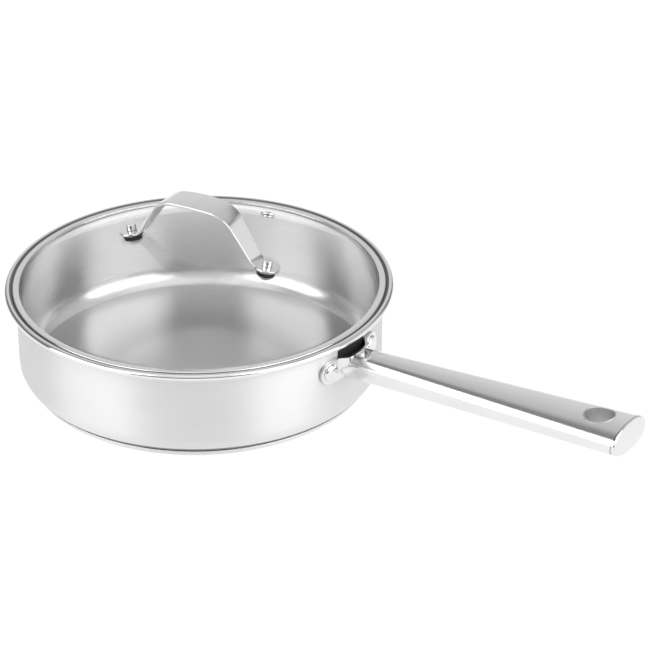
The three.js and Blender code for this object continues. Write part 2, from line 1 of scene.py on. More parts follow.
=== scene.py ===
"""Looks of a saute pan with a loose glass lid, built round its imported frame.

Metres, +Z up, the long handle along +X, the origin on the table under the middle of the pan.
"""
import math

import bmesh
import bpy
from bpy.props import FloatProperty, FloatVectorProperty, PointerProperty
from mathutils import Matrix, Vector


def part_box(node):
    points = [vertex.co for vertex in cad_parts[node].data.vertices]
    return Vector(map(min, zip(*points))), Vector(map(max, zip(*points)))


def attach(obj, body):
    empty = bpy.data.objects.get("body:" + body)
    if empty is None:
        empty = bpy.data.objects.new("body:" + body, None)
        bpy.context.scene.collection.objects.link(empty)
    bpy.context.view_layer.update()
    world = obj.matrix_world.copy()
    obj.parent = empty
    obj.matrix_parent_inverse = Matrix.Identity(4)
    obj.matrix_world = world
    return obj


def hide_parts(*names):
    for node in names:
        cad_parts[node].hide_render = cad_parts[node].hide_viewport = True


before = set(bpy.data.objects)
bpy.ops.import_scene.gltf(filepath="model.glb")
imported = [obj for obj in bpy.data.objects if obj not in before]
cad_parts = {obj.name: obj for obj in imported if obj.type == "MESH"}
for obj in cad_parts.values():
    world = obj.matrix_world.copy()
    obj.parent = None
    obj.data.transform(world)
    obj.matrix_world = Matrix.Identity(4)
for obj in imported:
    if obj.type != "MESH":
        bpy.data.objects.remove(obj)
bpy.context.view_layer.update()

bl_info = {
    "name": "Saute Pan Looks",
    "version": (1, 0, 0),
    "blender": (4, 5, 0),
    "location": "View3D > Sidebar > Saute Pan",
    "description": "Builds the fine surfaces of a saute pan and its glass lid",
    "category": "Object",
}

MM = 0.001

# How finely round shapes are divided
TURN_STEPS = 256
SMALL_STEPS = 64
ARC_STEP = math.radians(7.5)
OVAL_STEPS = 160
EDGE_STEPS = 6
FLARE_STEPS = 20
BEAD_TURN = math.radians(250)
DOME_STEPS = 60
HALVINGS = 40

# Points closer than this are one, and sharper corners than these stay sharp or get a bevel
WELD = MM / 1000
SHARP_ANGLE = math.radians(32)
BEVEL_ANGLE = math.radians(60)

# Finishes on the vessel's sheet: polished, the inner wall's satin lightened as painted light, the outer
# wall, dark painted shade in seams and behind the saddle, the floor's satin darkened as painted shade
POLISHED, LIT_SPUN, WALL, SEAM_SHADE, POCKET_SHADE, SHADED_FLOOR = range(6)

# Steps back from the lip at which the lid's seat starts and ends, and the tuck under the lip starts,
# which get dark painted shade
SEAT_START, SEAT_END, TUCK_START = 15, 3, 10

# A face of the bracket looks at the wall where its normal runs this far against the way out, and then
# gets painted shade
FACES_WALL = -0.9

# Largest share of the strap's half width that its rounded edge takes
EDGE_SHARE = 0.9

# Range that noise mostly stays in
NOISE_LOW, NOISE_HIGH = 0.3, 0.7

# Heights in the studio, from 0 at the horizon to 1 overhead
BACK_PALE, BACK_GREY, BACK_DARK = 0.35, 0.83, 0.87
CORNER_DARK, CORNER_PALE = 0.5, 0.65
RIGHT_PALE, RIGHT_DARK, RIGHT_GREY = 0.36, 0.47, 0.56
FRONT_DARK, FRONT_PALE = 0.3, 0.5
CEILING_LOW, CEILING_HIGH = 0.89, 0.92

# Bearings in the studio, from 0 behind the pan to 1 at the camera, and the blend between its sides
CORNER_START, CORNER_END = 0.01, 0.08
BACK_END, GAP_START = 0.12, 0.25
GAP_END, FRONT_START = 0.7, 0.88
SIDE_BLEND = 0.2

# Light that the table gives off where it is seen, and the share of its colour left for the shadow
TABLE_GLOW = 0.9
TABLE_SHARE = 0.2

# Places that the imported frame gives
RIM_LOW, RIM_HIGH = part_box("pan_body")
CAPSULE_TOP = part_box("base_cap")[1].z
NUT_LEFT = sum(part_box("lid_cap_nut_left"), Vector()) / 2
NUT_RIGHT = sum(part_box("lid_cap_nut_right"), Vector()) / 2
LID_TURN = math.atan2(NUT_RIGHT.y - NUT_LEFT.y, NUT_RIGHT.x - NUT_LEFT.x)

# The nuts stand further apart than the screws' holes, because the glass slopes
NUT_SPREAD = 1.9 * MM
FOOT_SPACING = (NUT_RIGHT - NUT_LEFT).length - NUT_SPREAD

# Thickness of the vessel's steel, which its lip's height depends on
SHEET = 0.8 * MM


# Sizes and colours that a user can change
def length(name, description, default):
    """A length in metres."""
    return FloatProperty(
        name=name, description=description, default=default,
        unit="LENGTH", subtype="DISTANCE", precision=4,
    )


def angle(name, description, default):
    """An angle in radians."""
    return FloatProperty(
        name=name, description=description, default=default, unit="ROTATION", subtype="ANGLE",
    )


def number(name, description, default, unit="NONE"):
    """A plain number."""
    return FloatProperty(name=name, description=description, default=default, unit=unit)


def colour(name, description, default):
    """A plain colour."""
    return FloatVectorProperty(
        name=name, description=description, default=default, subtype="COLOR", min=0, soft_max=1,
    )


def grey(level):
    """A colour without a hue."""
    return level, level, level


class SAUTEPAN_PG_vessel(bpy.types.PropertyGroup):
    """Sizes of the drawn vessel and its capsule base."""

    sheet: length("Sheet", "Thickness of the vessel's steel", SHEET)
    inner_radius: length("Inner radius", "Inside of the straight wall", 120 * MM)
    lip_height: length("Lip height", "Table to the middle of the lip's sheet", RIM_HIGH.z - SHEET / 2)
    lip_reach: length("Lip reach", "Lip's rolled edge beyond the wall's outside", 7.3 * MM)
    bead_radius: length("Bead radius", "Roll of the lip's edge", 2.2 * MM)
    flare_height: length("Flare height", "Height of the curve from wall to lip", 9.8 * MM)
    corner_radius: length("Corner radius", "Outside radius between floor and wall", 14 * MM)
    floor_level: length("Floor level", "Underside of the floor above the table", RIM_LOW.z)
    capsule_sheet: length("Capsule sheet", "Thickness of the capsule's steel", 0.7 * MM)
    capsule_corner: length("Capsule corner", "Outside radius of the capsule's edge", 9 * MM)
    capsule_inset: length("Capsule inset", "Capsule's side inside the wall", 5.6 * MM)
    capsule_gap: length("Capsule gap", "Groove between capsule and vessel", 0.9 * MM)


class SAUTEPAN_PG_bracket(bpy.types.PropertyGroup):
    """Sizes of the handle's bracket and rivets."""

    sheet: length("Sheet", "Thickness of the bracket", 1.8 * MM)
    lobe_radius: length("Lobe radius", "Round lobe about each rivet", 7.9 * MM)
    rivet_spacing: length("Rivet spacing", "Between the two rivets", 46 * MM)
    rivet_height: length("Rivet height", "Rivets above the table", 47.8 * MM)
    rivet_radius: length("Rivet radius", "Shank of a rivet", 3 * MM)
    head_radius: length("Head radius", "Domed head outside", 5.9 * MM)
    head_height: length("Head height", "Rise of the domed head", 2.6 * MM)
    inner_head_radius: length("Inner head radius", "Flat head inside the pan", 5.5 * MM)
    inner_head_height: length("Inner head height", "Thickness of the flat head", 1.2 * MM)
    standoff: length("Standoff", "Saddle's upper edge, out from the wall", 4 * MM)
    saddle_half: length("Saddle half", "Half of the saddle's straight part", 9.2 * MM)
    ridge_height: length("Ridge height", "Saddle's upper edge above the table", 54.5 * MM)
    pocket: length("Pocket", "Depth of the open pocket behind that edge", 6 * MM)


class SAUTEPAN_PG_handle(bpy.types.PropertyGroup):
    """Sizes of the hollow oval handle, along its middle line from the vessel's wall."""

    reach: length("Length", "From the wall to the free end", 202 * MM)
    slope: angle("Slope", "Rise of the handle outward", math.radians(3.55))
    height: length("Height", "Middle line above the table, at the wall", 45.6 * MM)
    root_width: length("Root width", "Width at the wall", 21 * MM)
    end_width: length("End width", "Width at the free end", 40 * MM)
    root_thickness: length("Root thickness", "Depth at the wall", 20.2 * MM)
    end_thickness: length("End thickness", "Depth at the free end", 19.6 * MM)
    root_flare: length("Root flare", "Spread of the handle where it meets the bracket", 2 * MM)
    root_blend: length("Root blend", "Length of that spread", 11 * MM)
    fullness: number("Fullness", "2 is a plain ellipse, more is squarer", 2.2)
    end_lean: number("End lean", "Lean of the tube's end, out per unit up", 0.16)
    face_lean: number("Face lean", "The same of the cap's face", -0.02)
    bowl_length: length("Bowl length", "End of the thumb bowl in the root", 16 * MM)
    bowl_width: length("Bowl width", "Width of that bowl", 13 * MM)
    bowl_depth: length("Bowl depth", "Depth of that bowl", 5 * MM)
    tongue: length("Tongue", "Round tongue of the top wall into the bowl", 3 * MM)
    cap_skirt: length("Cap skirt", "Straight part of the end cap", 1.4 * MM)
    cap_round: length("Cap round", "Rounding of the end cap's face", 1.6 * MM)
    seam: length("Seam", "Joint between tube and cap", 0.2 * MM)
    hole_setback: length("Hole setback", "Hanging hole from the free end", 21.1 * MM)
    hole_radius: length("Hole radius", "Clear bore of the hanging hole", 9.3 * MM)
    sleeve_wall: length("Sleeve wall", "Thickness of the hole's sleeve", 0.8 * MM)
    sleeve_proud: length("Sleeve proud", "Rolled rims beyond the handle's skin", 0.4 * MM)


class SAUTEPAN_PG_lid(bpy.types.PropertyGroup):
    """Sizes of the glass lid, its band and its vent."""

    glass: length("Glass", "Thickness of the glass", 3.6 * MM)
    dome_rise: length("Dome rise", "Rise of the dome over its edge", 26.5 * MM)
    band_sheet: length("Band sheet", "Thickness of the band's steel", 0.6 * MM)
    band_setback: length("Band setback", "Band's outside from the lip's edge", 5.2 * MM)
    band_proud: length("Band proud", "Band's top above the middle of the lip's sheet", 0.2 * MM)
    band_lip: length("Band lip", "Width of the band's top", 4.1 * MM)
    seat_gap: length("Seat gap", "Between the band and the flare", 0.3 * MM)
    vent_reach: length("Vent reach", "Vent from the lid's axis", 85 * MM)
    vent_turn: angle("Vent turn", "Vent from the middle between the feet", math.radians(-1.8))
    vent_bore: length("Vent bore", "Radius of the vent's bore", 2 * MM)
    vent_neck: length("Vent neck", "Radius of the eyelet's neck", 3.2 * MM)
    vent_flange: length("Vent flange", "Radius of the eyelet's flange", 5 * MM)
    flange_height: length("Flange height", "Thickness of that flange", 0.8 * MM)


class SAUTEPAN_PG_grip(bpy.types.PropertyGroup):
    """Sizes of the lid's strap handle and what holds it."""

    strap: length("Strap", "Thickness of the strap", 2 * MM)
    strap_edge: length("Strap edge", "Rounding of the strap's edges", 0.6 * MM)
    foot_spacing: length("Foot spacing", "Between the two screws", FOOT_SPACING)
    foot_radius: length("Foot radius", "Round foot", 8.5 * MM)
    rise: length("Rise", "Top of the grip over the glass at the feet", 37.4 * MM)
    grip_width: length("Grip width", "Width in the middle", 22 * MM)
    waist_width: length("Waist width", "Width at the foot of a leg", 13 * MM)
    foot_run: length("Foot run", "From a screw to the bend of its leg", 7.4 * MM)
    leg_run: length("Leg run", "Horizontal run of a leg", 20 * MM)
    crown_drop: length("Crown drop", "Fall of the crown from middle to shoulder", 2.1 * MM)
    crown_radius: length("Crown radius", "Bend over the middle", 110 * MM)
    shoulder_radius: length("Shoulder radius", "Bend into a leg", 20 * MM)
    foot_bend: length("Foot bend", "Bend into a foot", 9 * MM)
    gasket_radius: length("Gasket radius", "Black disc under a foot", 7.4 * MM)
    gasket: length("Gasket", "Thickness of that disc", 0.6 * MM)
    collar_radius: length("Collar radius", "Bush in the glass", 3.4 * MM)
    nut_radius: length("Nut radius", "Polished post on a foot", 3.3 * MM)
    nut_height: length("Nut height", "Height of that post", 4.1 * MM)
    screw_radius: length("Screw radius", "Shank of the screw", 2 * MM)
    screw_head: length("Screw head", "Radius of the screw's head", 4 * MM)
    screw_head_height: length("Screw head height", "Thickness of the screw's head", 2.2 * MM)
    slot_width: length("Slot width", "Slot in the screw's head", 1 * MM)
    ring_radius: length("Ring radius", "Soft ring and washer under the glass", 6 * MM)
    soft_ring: length("Soft ring", "Thickness of the soft ring", 1 * MM)
    washer: length("Washer", "Thickness of the washer", 0.8 * MM)
    gap: length("Gap", "Between two stacked pieces", 0.3 * MM)


class SAUTEPAN_PG_finish(bpy.types.PropertyGroup):
    """Colours of the materials."""

    polished: colour("Polished steel", "Mirror-polished stainless steel", (0.78, 0.78, 0.785))
    satin: colour("Satin steel", "Spun satin of the pan", (0.77, 0.77, 0.773))
    brushed: colour("Smooth steel", "Fine satin of the grips", (0.78, 0.78, 0.783))
    dull: colour("Dull steel", "Unpolished steel in the hanging hole", grey(0.58))
    # Painted shade: dark colour for the shade down in the seams about the lip, the lid's seat and the
    # base
    seam_shade: colour("Groove", "Dark steel in the seams about the lip and the base", grey(0.2))
    # Painted shade: near-black colour for the shade in the pocket behind the saddle
    scale: colour("Scale", "Unpolished steel behind the saddle", (0.02, 0.02, 0.022))
    core: colour("Core", "Rolled aluminium", (0.7, 0.71, 0.73))
    glass: colour("Glass", "Clear toughened glass", (0.995, 0.998, 0.996))
    silicone: colour("Silicone", "Black moulded silicone", (0.09, 0.09, 0.092))
    floor: colour("Floor", "Pale table", grey(0.9))
    sky_low: colour("Front, low", "Dark room behind the camera", grey(0.2))
    sky_front: colour("Front, high", "Light from above the camera", grey(0.85))
    sky_gap: colour("Gap", "Dark gaps behind the soft boxes", grey(0.24))
    sky_right: colour("Right, low", "Pale low wall behind the right soft box", grey(0.9))
    sky_back: colour("Back of the room", "Light from behind the pan", grey(0.8))
    sky_high: colour("Back, high", "Upper part of the back wall", grey(0.6))
    sky_beam: colour("Beam", "Dark edge of the back wall, under the ceiling", grey(0.22))
    sky_top: colour("Ceiling", "Light from overhead", grey(1.1))


class SAUTEPAN_PG_stage(bpy.types.PropertyGroup):
    """Camera and light."""

    azimuth: angle("Azimuth", "Camera's turn round the pan from its front", math.radians(34.32))
    elevation: angle("Elevation", "Camera above the horizon", math.radians(28.79))
    distance: length("Distance", "Camera from its target", 1762.7 * MM)
    target_reach: length("Target reach", "Target to the right of the pan's axis", 82.7 * MM)
    target_height: length("Target height", "Target above the table", 34.68 * MM)
    lens: number("Lens", "Focal length in millimetres", 146.8)
    sensor: number("Sensor", "Sensor width in millimetres", 36)
    floor_size: length("Floor size", "Side of the pale floor", 12)
    left_swing: angle("Left swing", "Left soft box from the camera", math.radians(62))
    right_swing: angle("Right swing", "Right soft box from the camera", math.radians(58))
    box_lift: angle("Box lift", "Soft boxes above the horizon", math.radians(30))
    box_distance: length("Box distance", "Soft boxes from the pan", 1.6)
    box_width: length("Box width", "Width of a soft box", 1.5)
    box_height: length("Box height", "Height of a soft box", 1.6)
    box_power: number("Box power", "Power of each soft box", 15.2, unit="POWER")


class SAUTEPAN_PG_settings(bpy.types.PropertyGroup):
    """All settings of the pan."""

    vessel: PointerProperty(type=SAUTEPAN_PG_vessel)
    bracket: PointerProperty(type=SAUTEPAN_PG_bracket)
    handle: PointerProperty(type=SAUTEPAN_PG_handle)
    lid: PointerProperty(type=SAUTEPAN_PG_lid)
    grip: PointerProperty(type=SAUTEPAN_PG_grip)
    finish: PointerProperty(type=SAUTEPAN_PG_finish)
    stage: PointerProperty(type=SAUTEPAN_PG_stage)


# Shapes: a geometry is a list of points, a list of faces and the material index of each face
def spaced(low, high, steps):
    """Evenly spaced values from low to high, both included."""
    return [low + (high - low) * i / steps for i in range(steps + 1)]


def eased(value, low, high):
    """Smooth step from 0 at low to 1 at high."""
    share = min(1.0, max(0.0, (value - low) / (high - low)))
    return share * share * (3 - 2 * share)


def drawn(share, start, first, second, end):
    """Value along a cubic curve from start to end that two handles pull."""
    back = 1 - share
    handles = 3 * back * back * share * first + 3 * back * share * share * second
    return back**3 * start + handles + share**3 * end


def last_short(low, high, falls_short):
    """Highest value between low and high that still falls short, found by halving."""
    for _ in range(HALVINGS):
        middle = (low + high) / 2
        if falls_short(middle):
            low = middle
        else:
            high = middle
    return low


def rounded_path(corners, steps=None):
    """Points along a flat path whose corners, given as (x, y, radius), are rounded."""
    points = []
    for i, (x, y, radius) in enumerate(corners):
        corner = Vector((x, y))
        if not radius:
            points.append(corner)
            continue
        into = (corner - Vector(corners[i - 1][:2])).normalized()
        out = (Vector(corners[i + 1][:2]) - corner).normalized()
        turn = math.atan2(into.x * out.y - into.y * out.x, into.dot(out))
        start = corner - into * radius * math.tan(abs(turn) / 2)
        centre = start + Vector((-into.y, into.x)) * math.copysign(radius, turn)
        count = steps or max(2, math.ceil(abs(turn) / ARC_STEP))
        for swing in spaced(0, turn, count):
            points.append(centre + Matrix.Rotation(swing, 2) @ (start - centre))
    return points


def path_normals(path):
    """Left-hand normal at each point of a flat path."""
    normals = []
    for i in range(len(path)):
        along = (path[min(i + 1, len(path) - 1)] - path[max(i - 1, 0)]).normalized()
        normals.append(Vector((-along.y, along.x)))
    return normals


def half_round(centre, normal, radius):
    """Points round the end of a sheet, from its left side to its right, both left out."""
    swings = spaced(0, -math.pi, EDGE_STEPS)[1:-1]
    return [centre + Matrix.Rotation(swing, 2) @ normal * radius for swing in swings]


def sheet_loop(path, thickness, round_start=False):
    """Closed outline of a sheet along a path, its far edge round. The left side comes first."""
    normals = path_normals(path)
    half = thickness / 2
    left = [p + n * half for p, n in zip(path, normals)]
    right = [p - n * half for p, n in zip(path, normals)]
    start = half_round(path[0], -normals[0], half) if round_start else []
    return left + half_round(path[-1], normals[-1], half) + right[::-1] + start


def turned(profile, steps=TURN_STEPS, closed=True, slots=None):
    """A profile of (radius, height) turned about Z. Slots gives a material for each profile side."""
    points, faces, indices, rings = [], [], [], []
    for radius, height in profile:
        count = 1 if radius < WELD else steps
        rings.append((len(points), count))
        for k in range(count):
            swing = 2 * math.pi * k / steps
            points.append(Vector((radius * math.cos(swing), radius * math.sin(swing), height)))
    sides = len(profile) if closed else len(profile) - 1
    for side in range(sides):
        (first, first_count), (second, second_count) = rings[side], rings[(side + 1) % len(profile)]
        if first_count == second_count == 1:
            continue
        for k in range(steps):
            after = (k + 1) % steps
            corners = [
                first + k % first_count,
                first + after % first_count,
                second + after % second_count,
                second + k % second_count,
            ]
            faces.append(list(dict.fromkeys(corners)))
            indices.append(slots[side] if slots else 0)
    return points, faces, indices


def skinned(sections, closed=True, loop=False):
    """A skin through sections, each closed or open. A loop joins the last to the first."""
    count = len(sections[0])
    points = [point for section in sections for point in section]
    faces = []
    for s in range(len(sections) if loop else len(sections) - 1):
        here, beside = s * count, (s + 1) % len(sections) * count
        for i in range(count if closed else count - 1):
            after = (i + 1) % count
            faces.append([here + i, here + after, beside + after, beside + i])
    return points, faces, [0] * len(faces)


def lofted(sections):
    """A closed skin through closed sections, flat at both ends."""
    points, faces, _ = skinned(sections)
    first = list(range(len(sections[0])))
    last = [len(points) - len(first) + i for i in first]
    faces += [first[::-1], last]
    return points, faces, [0] * len(faces)


def placed(geometry, matrix):
    """The same geometry somewhere else."""
    points, faces, indices = geometry
    return [matrix @ point for point in points], faces, indices


def new_piece(name, geometry, *finishes):
    """A mesh object with smooth faces that point outward."""
    points, faces, indices = geometry
    mesh = bpy.data.meshes.new(name)
    mesh.from_pydata(points, [], faces)
    for finish in finishes:
        mesh.materials.append(finish)
    mesh.polygons.foreach_set("material_index", indices)
    skin = bmesh.new()
    skin.from_mesh(mesh)
    bmesh.ops.remove_doubles(skin, verts=skin.verts, dist=WELD)
    bmesh.ops.recalc_face_normals(skin, faces=skin.faces)
    skin.to_mesh(mesh)
    skin.free()
    piece = bpy.data.objects.new(name, mesh)
    bpy.context.scene.collection.objects.link(piece)
    smooth(piece)
    return piece


def smooth(piece):
    """Smooth shading, with real corners left sharp."""
    piece.data.shade_smooth()
    piece.data.set_sharp_from_angle(angle=SHARP_ANGLE)


def settle(piece):
    """Makes the piece's modifiers part of its mesh."""
    graph = bpy.context.evaluated_depsgraph_get()
    mesh = bpy.data.meshes.new_from_object(piece.evaluated_get(graph), depsgraph=graph)
    piece.modifiers.clear()
    piece.data = mesh
    smooth(piece)


def cut(piece, *cutters):
    """Cuts closed geometries out of a piece."""
    for index, geometry in enumerate(cutters):
        cutter = new_piece(f"{piece.name}_cutter_{index}", geometry)
        bore = piece.modifiers.new("Bore", "BOOLEAN")
        bore.object = cutter
        bore.solver = "EXACT"
        settle(piece)
        bpy.data.objects.remove(cutter)


def seat(piece, body, slot, *nodes):
    """Ties a piece to the frame: what it rides on and what it stands for. The slot, its finish, is not
    used.
    """
    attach(piece, body)
    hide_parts(*nodes)


def rod(radius, low, high, steps=SMALL_STEPS):
    """A plain cylinder along Z."""
    return turned([(0, low), (radius, low), (radius, high), (0, high)], steps, closed=False)


def ring(inner, outer, low, high, edge=0.0):
    """A flat ring about Z with rounded outer edges."""
    corners = [(inner, low, 0), (outer, low, edge), (outer, high, edge), (inner, high, 0)]
    return turned(rounded_path(corners), SMALL_STEPS)


# Materials
def add_node(tree, kind, inputs=None, **settings):
    """A node with its settings and inputs, where an input is a value or another node's output."""
    node = tree.nodes.new(kind)
    for name, value in settings.items():
        setattr(node, name, value)
    for socket, value in (inputs or {}).items():
        if isinstance(value, bpy.types.NodeSocket):
            tree.links.new(value, node.inputs[socket])
        else:
            node.inputs[socket].default_value = value
    return node


def ramp(tree, factor, *stops):
    """Colour ramp through (place, colour) stops."""
    node = add_node(tree, "ShaderNodeValToRGB", {"Fac": factor})
    elements = node.color_ramp.elements
    while len(elements) < len(stops):
        elements.new(0)
    for element, (place, tone) in zip(elements, stops):
        element.position = place
        element.color = (*tone, 1)
    return node.outputs["Color"]


def shade(colour, factor):
    """A colour made lighter or darker."""
    return tuple(min(1.0, channel * factor) for channel in colour)


class Finish:
    """A node material on a Principled shader, with short calls for adding nodes."""

    def __init__(self, name, colour, metallic, roughness):
        self.material = bpy.data.materials.new(name)
        self.material.use_nodes = True
        self.tree = self.material.node_tree
        self.shader = self.tree.nodes["Principled BSDF"]
        self.set(**{"Base Color": (*colour, 1), "Metallic": metallic, "Roughness": roughness})

    def set(self, **values):
        """Plain values on the shader's own sockets."""
        for socket, value in values.items():
            self.shader.inputs[socket].default_value = value

    def add(self, kind, inputs=None, **settings):
        """A node of this material."""
        return add_node(self.tree, kind, inputs, **settings)

    def drive(self, socket, output):
        """Links a node's output to one of the shader's sockets."""
        self.tree.links.new(output, self.shader.inputs[socket])

    def place(self):
        """Position on the object, in metres."""
        return self.add("ShaderNodeTexCoord").outputs["Object"]

    def stretched(self, vector, scale):
        """A position stretched by a scale along each axis."""
        return self.add("ShaderNodeMapping", {"Vector": vector, "Scale": scale}).outputs["Vector"]

    def around(self, fine, coarse):
        """Position as rings about Z: fine across the rings, coarse along them."""
        parts = self.add("ShaderNodeSeparateXYZ", {"Vector": self.place()}).outputs
        x, y, z = parts["X"], parts["Y"], parts["Z"]
        flat = self.add("ShaderNodeCombineXYZ", {"X": x, "Y": y}).outputs["Vector"]
        radius = self.add("ShaderNodeVectorMath", {0: flat}, operation="LENGTH").outputs["Value"]
        swing = self.add("ShaderNodeMath", {0: y, 1: x}, operation="ARCTAN2").outputs["Value"]
        rings = self.add("ShaderNodeCombineXYZ", {"X": radius, "Y": z, "Z": swing}).outputs["Vector"]
        return self.stretched(rings, (fine, fine, coarse))

    def noise(self, vector, scale, detail=2.0):
        """Noise between 0 and 1."""
        inputs = {"Vector": vector, "Scale": scale, "Detail": detail}
        return self.add("ShaderNodeTexNoise", inputs).outputs["Fac"]

    def roughen(self, noise, low, high):
        """Lets noise move the roughness between two values."""
        inputs = {
            "Value": noise, "From Min": NOISE_LOW, "From Max": NOISE_HIGH, "To Min": low, "To Max": high,
        }
        self.drive("Roughness", self.add("ShaderNodeMapRange", inputs).outputs["Result"])

    def tint(self, noise, colour, low, high):
        """Lets noise move the colour between two shades of it."""
        stops = (NOISE_LOW, shade(colour, low)), (NOISE_HIGH, shade(colour, high))
        self.drive("Base Color", ramp(self.tree, noise, *stops))

    def bump(self, height, strength, depth):
        """Small relief from a height between 0 and 1."""
        inputs = {"Height": height, "Strength": strength, "Distance": depth}
        self.drive("Normal", self.add("ShaderNodeBump", inputs).outputs["Normal"])


def finish_once(maker):
    """Gives the same material each time its maker is asked for it."""
    made = []

    def fetch(colours):
        if not made:
            made.append(maker(colours).material)
        return made[0]

    return fetch


@finish_once
def polished_steel(colours):
    """Mirror polish with faint polishing marks and patches."""
    finish = Finish("polished_steel", colours.polished, metallic=1, roughness=0.06)
    marks = finish.noise(finish.stretched(finish.place(), (1, 1, 6)), scale=420, detail=3)
    finish.roughen(marks, low=0.04, high=0.09)
    patches = finish.noise(finish.place(), scale=18)
    finish.tint(patches, colours.polished, low=0.97, high=1.02)
    finish.bump(marks, strength=0.02, depth=0.02 * MM)
    return finish


def spun(name, steel, roughness, spread=0.02):
    """Fine turned rings whose gloss spreads across them."""
    finish = Finish(name, steel, metallic=1, roughness=roughness)
    rings = finish.noise(finish.around(fine=1, coarse=0.002), scale=6000)
    finish.roughen(rings, low=roughness - spread, high=roughness + spread)
    patches = finish.noise(finish.around(fine=1, coarse=0.05), scale=40)
    finish.tint(patches, steel, low=0.98, high=1.02)
    finish.set(**{"Anisotropic": 0.85, "Anisotropic Rotation": 0.25})
    tangent = finish.add("ShaderNodeTangent", direction_type="RADIAL", axis="Z")
    finish.drive("Tangent", tangent.outputs["Tangent"])
    return finish


@finish_once
def lit_satin_steel(colours):
    """Spun satin of the pan's inner wall, lightened as painted light."""
    return spun("lit_satin_steel", shade(colours.satin, 1.13), roughness=0.26)


@finish_once
def shaded_floor_steel(colours):
    """Spun satin of its floor and the foot of its corner, darkened as painted shade."""
    return spun("shaded_floor_steel", shade(colours.satin, 0.8), roughness=0.31)


@finish_once
def wall_steel(colours):
    """Coarser spun satin of its outside."""
    return spun("wall_steel", colours.satin, roughness=0.42)


@finish_once
def smooth_steel(colours):
    """Fine satin of the grips, with the faintest hairlines along them."""
    finish = Finish("smooth_steel", colours.brushed, metallic=1, roughness=0.16)
    hairs = finish.noise(finish.stretched(finish.place(), (0.02, 1, 1)), scale=4000)
    finish.roughen(hairs, low=0.14, high=0.2)
    patches = finish.noise(finish.place(), scale=25)
    finish.tint(patches, colours.brushed, low=0.98, high=1.02)
    finish.bump(hairs, strength=0.03, depth=0.01 * MM)
    return finish


@finish_once
def dull_steel(colours):
    """Unpolished grey steel."""
    finish = Finish("dull_steel", colours.dull, metallic=1, roughness=0.5)
    grain = finish.noise(finish.place(), scale=1200, detail=3)
    finish.roughen(grain, low=0.45, high=0.55)
    finish.tint(grain, colours.dull, low=0.95, high=1.05)
    return finish


@finish_once
def painted_seam_shade(colours):
    """Dark painted shade down in a seam."""
    finish = Finish("painted_seam_shade", colours.seam_shade, metallic=1, roughness=0.45)
    grain = finish.noise(finish.place(), scale=1200, detail=3)
    finish.tint(grain, colours.seam_shade, low=0.85, high=1.15)
    return finish


@finish_once
def painted_pocket_shade(colours):
    """Near-black painted shade in the pocket behind the saddle, with a rough grain."""
    finish = Finish("painted_pocket_shade", colours.scale, metallic=0.3, roughness=0.7)
    grain = finish.noise(finish.place(), scale=900, detail=3)
    finish.tint(grain, colours.scale, low=0.7, high=1.4)
    finish.bump(grain, strength=0.2, depth=0.1 * MM)
    return finish


@finish_once
def rolled_aluminium(colours):
    """Plain rolled disc."""
    finish = Finish("rolled_aluminium", colours.core, metallic=1, roughness=0.45)
    rolling = finish.noise(finish.stretched(finish.place(), (0.05, 1, 1)), scale=900)
    finish.roughen(rolling, low=0.38, high=0.52)
    return finish


@finish_once
def clear_glass(colours):
    """Toughened glass, clear, with a faint unevenness."""
    finish = Finish("clear_glass", colours.glass, metallic=0, roughness=0)
    finish.set(**{"Transmission Weight": 1, "IOR": 1.5})
    waves = finish.noise(finish.place(), scale=30, detail=1)
    finish.bump(waves, strength=0.02, depth=0.02 * MM)
    return finish


@finish_once
def black_silicone(colours):
    """Matt moulded silicone."""
    finish = Finish("black_silicone", colours.silicone, metallic=0, roughness=0.55)
    grain = finish.noise(finish.place(), scale=2500)
    finish.roughen(grain, low=0.45, high=0.65)
    finish.bump(grain, strength=0.1, depth=0.05 * MM)
    return finish


# Vessel and capsule
def wall_outside(vessel):
    """Outside of the straight wall."""
    return vessel.inner_radius + vessel.sheet


def flare_at(vessel, swing, distance):
    """Point of the rim's flare, set off towards the lid. The swing is 0 at the wall."""
    middle = vessel.inner_radius + vessel.sheet / 2
    reach = vessel.lip_reach - vessel.bead_radius + vessel.sheet / 2
    start = vessel.lip_height - vessel.flare_height
    across = middle + reach * (1 - math.cos(swing))
    up = start + vessel.flare_height * math.sin(swing)
    normal = Vector((-vessel.flare_height * math.cos(swing), reach * math.sin(swing))).normalized()
    return Vector((across, up)) + normal * distance


def flare_swing(vessel, axis, value, distance):
    """Swing at which the set-off flare reaches a radius (axis 0) or a height (axis 1)."""
    return last_short(0.0, math.pi / 2, lambda swing: flare_at(vessel, swing, distance)[axis] < value)


def flare_run(vessel, low, high, distance):
    """Points along the set-off flare."""
    return [flare_at(vessel, swing, distance) for swing in spaced(low, high, FLARE_STEPS)]


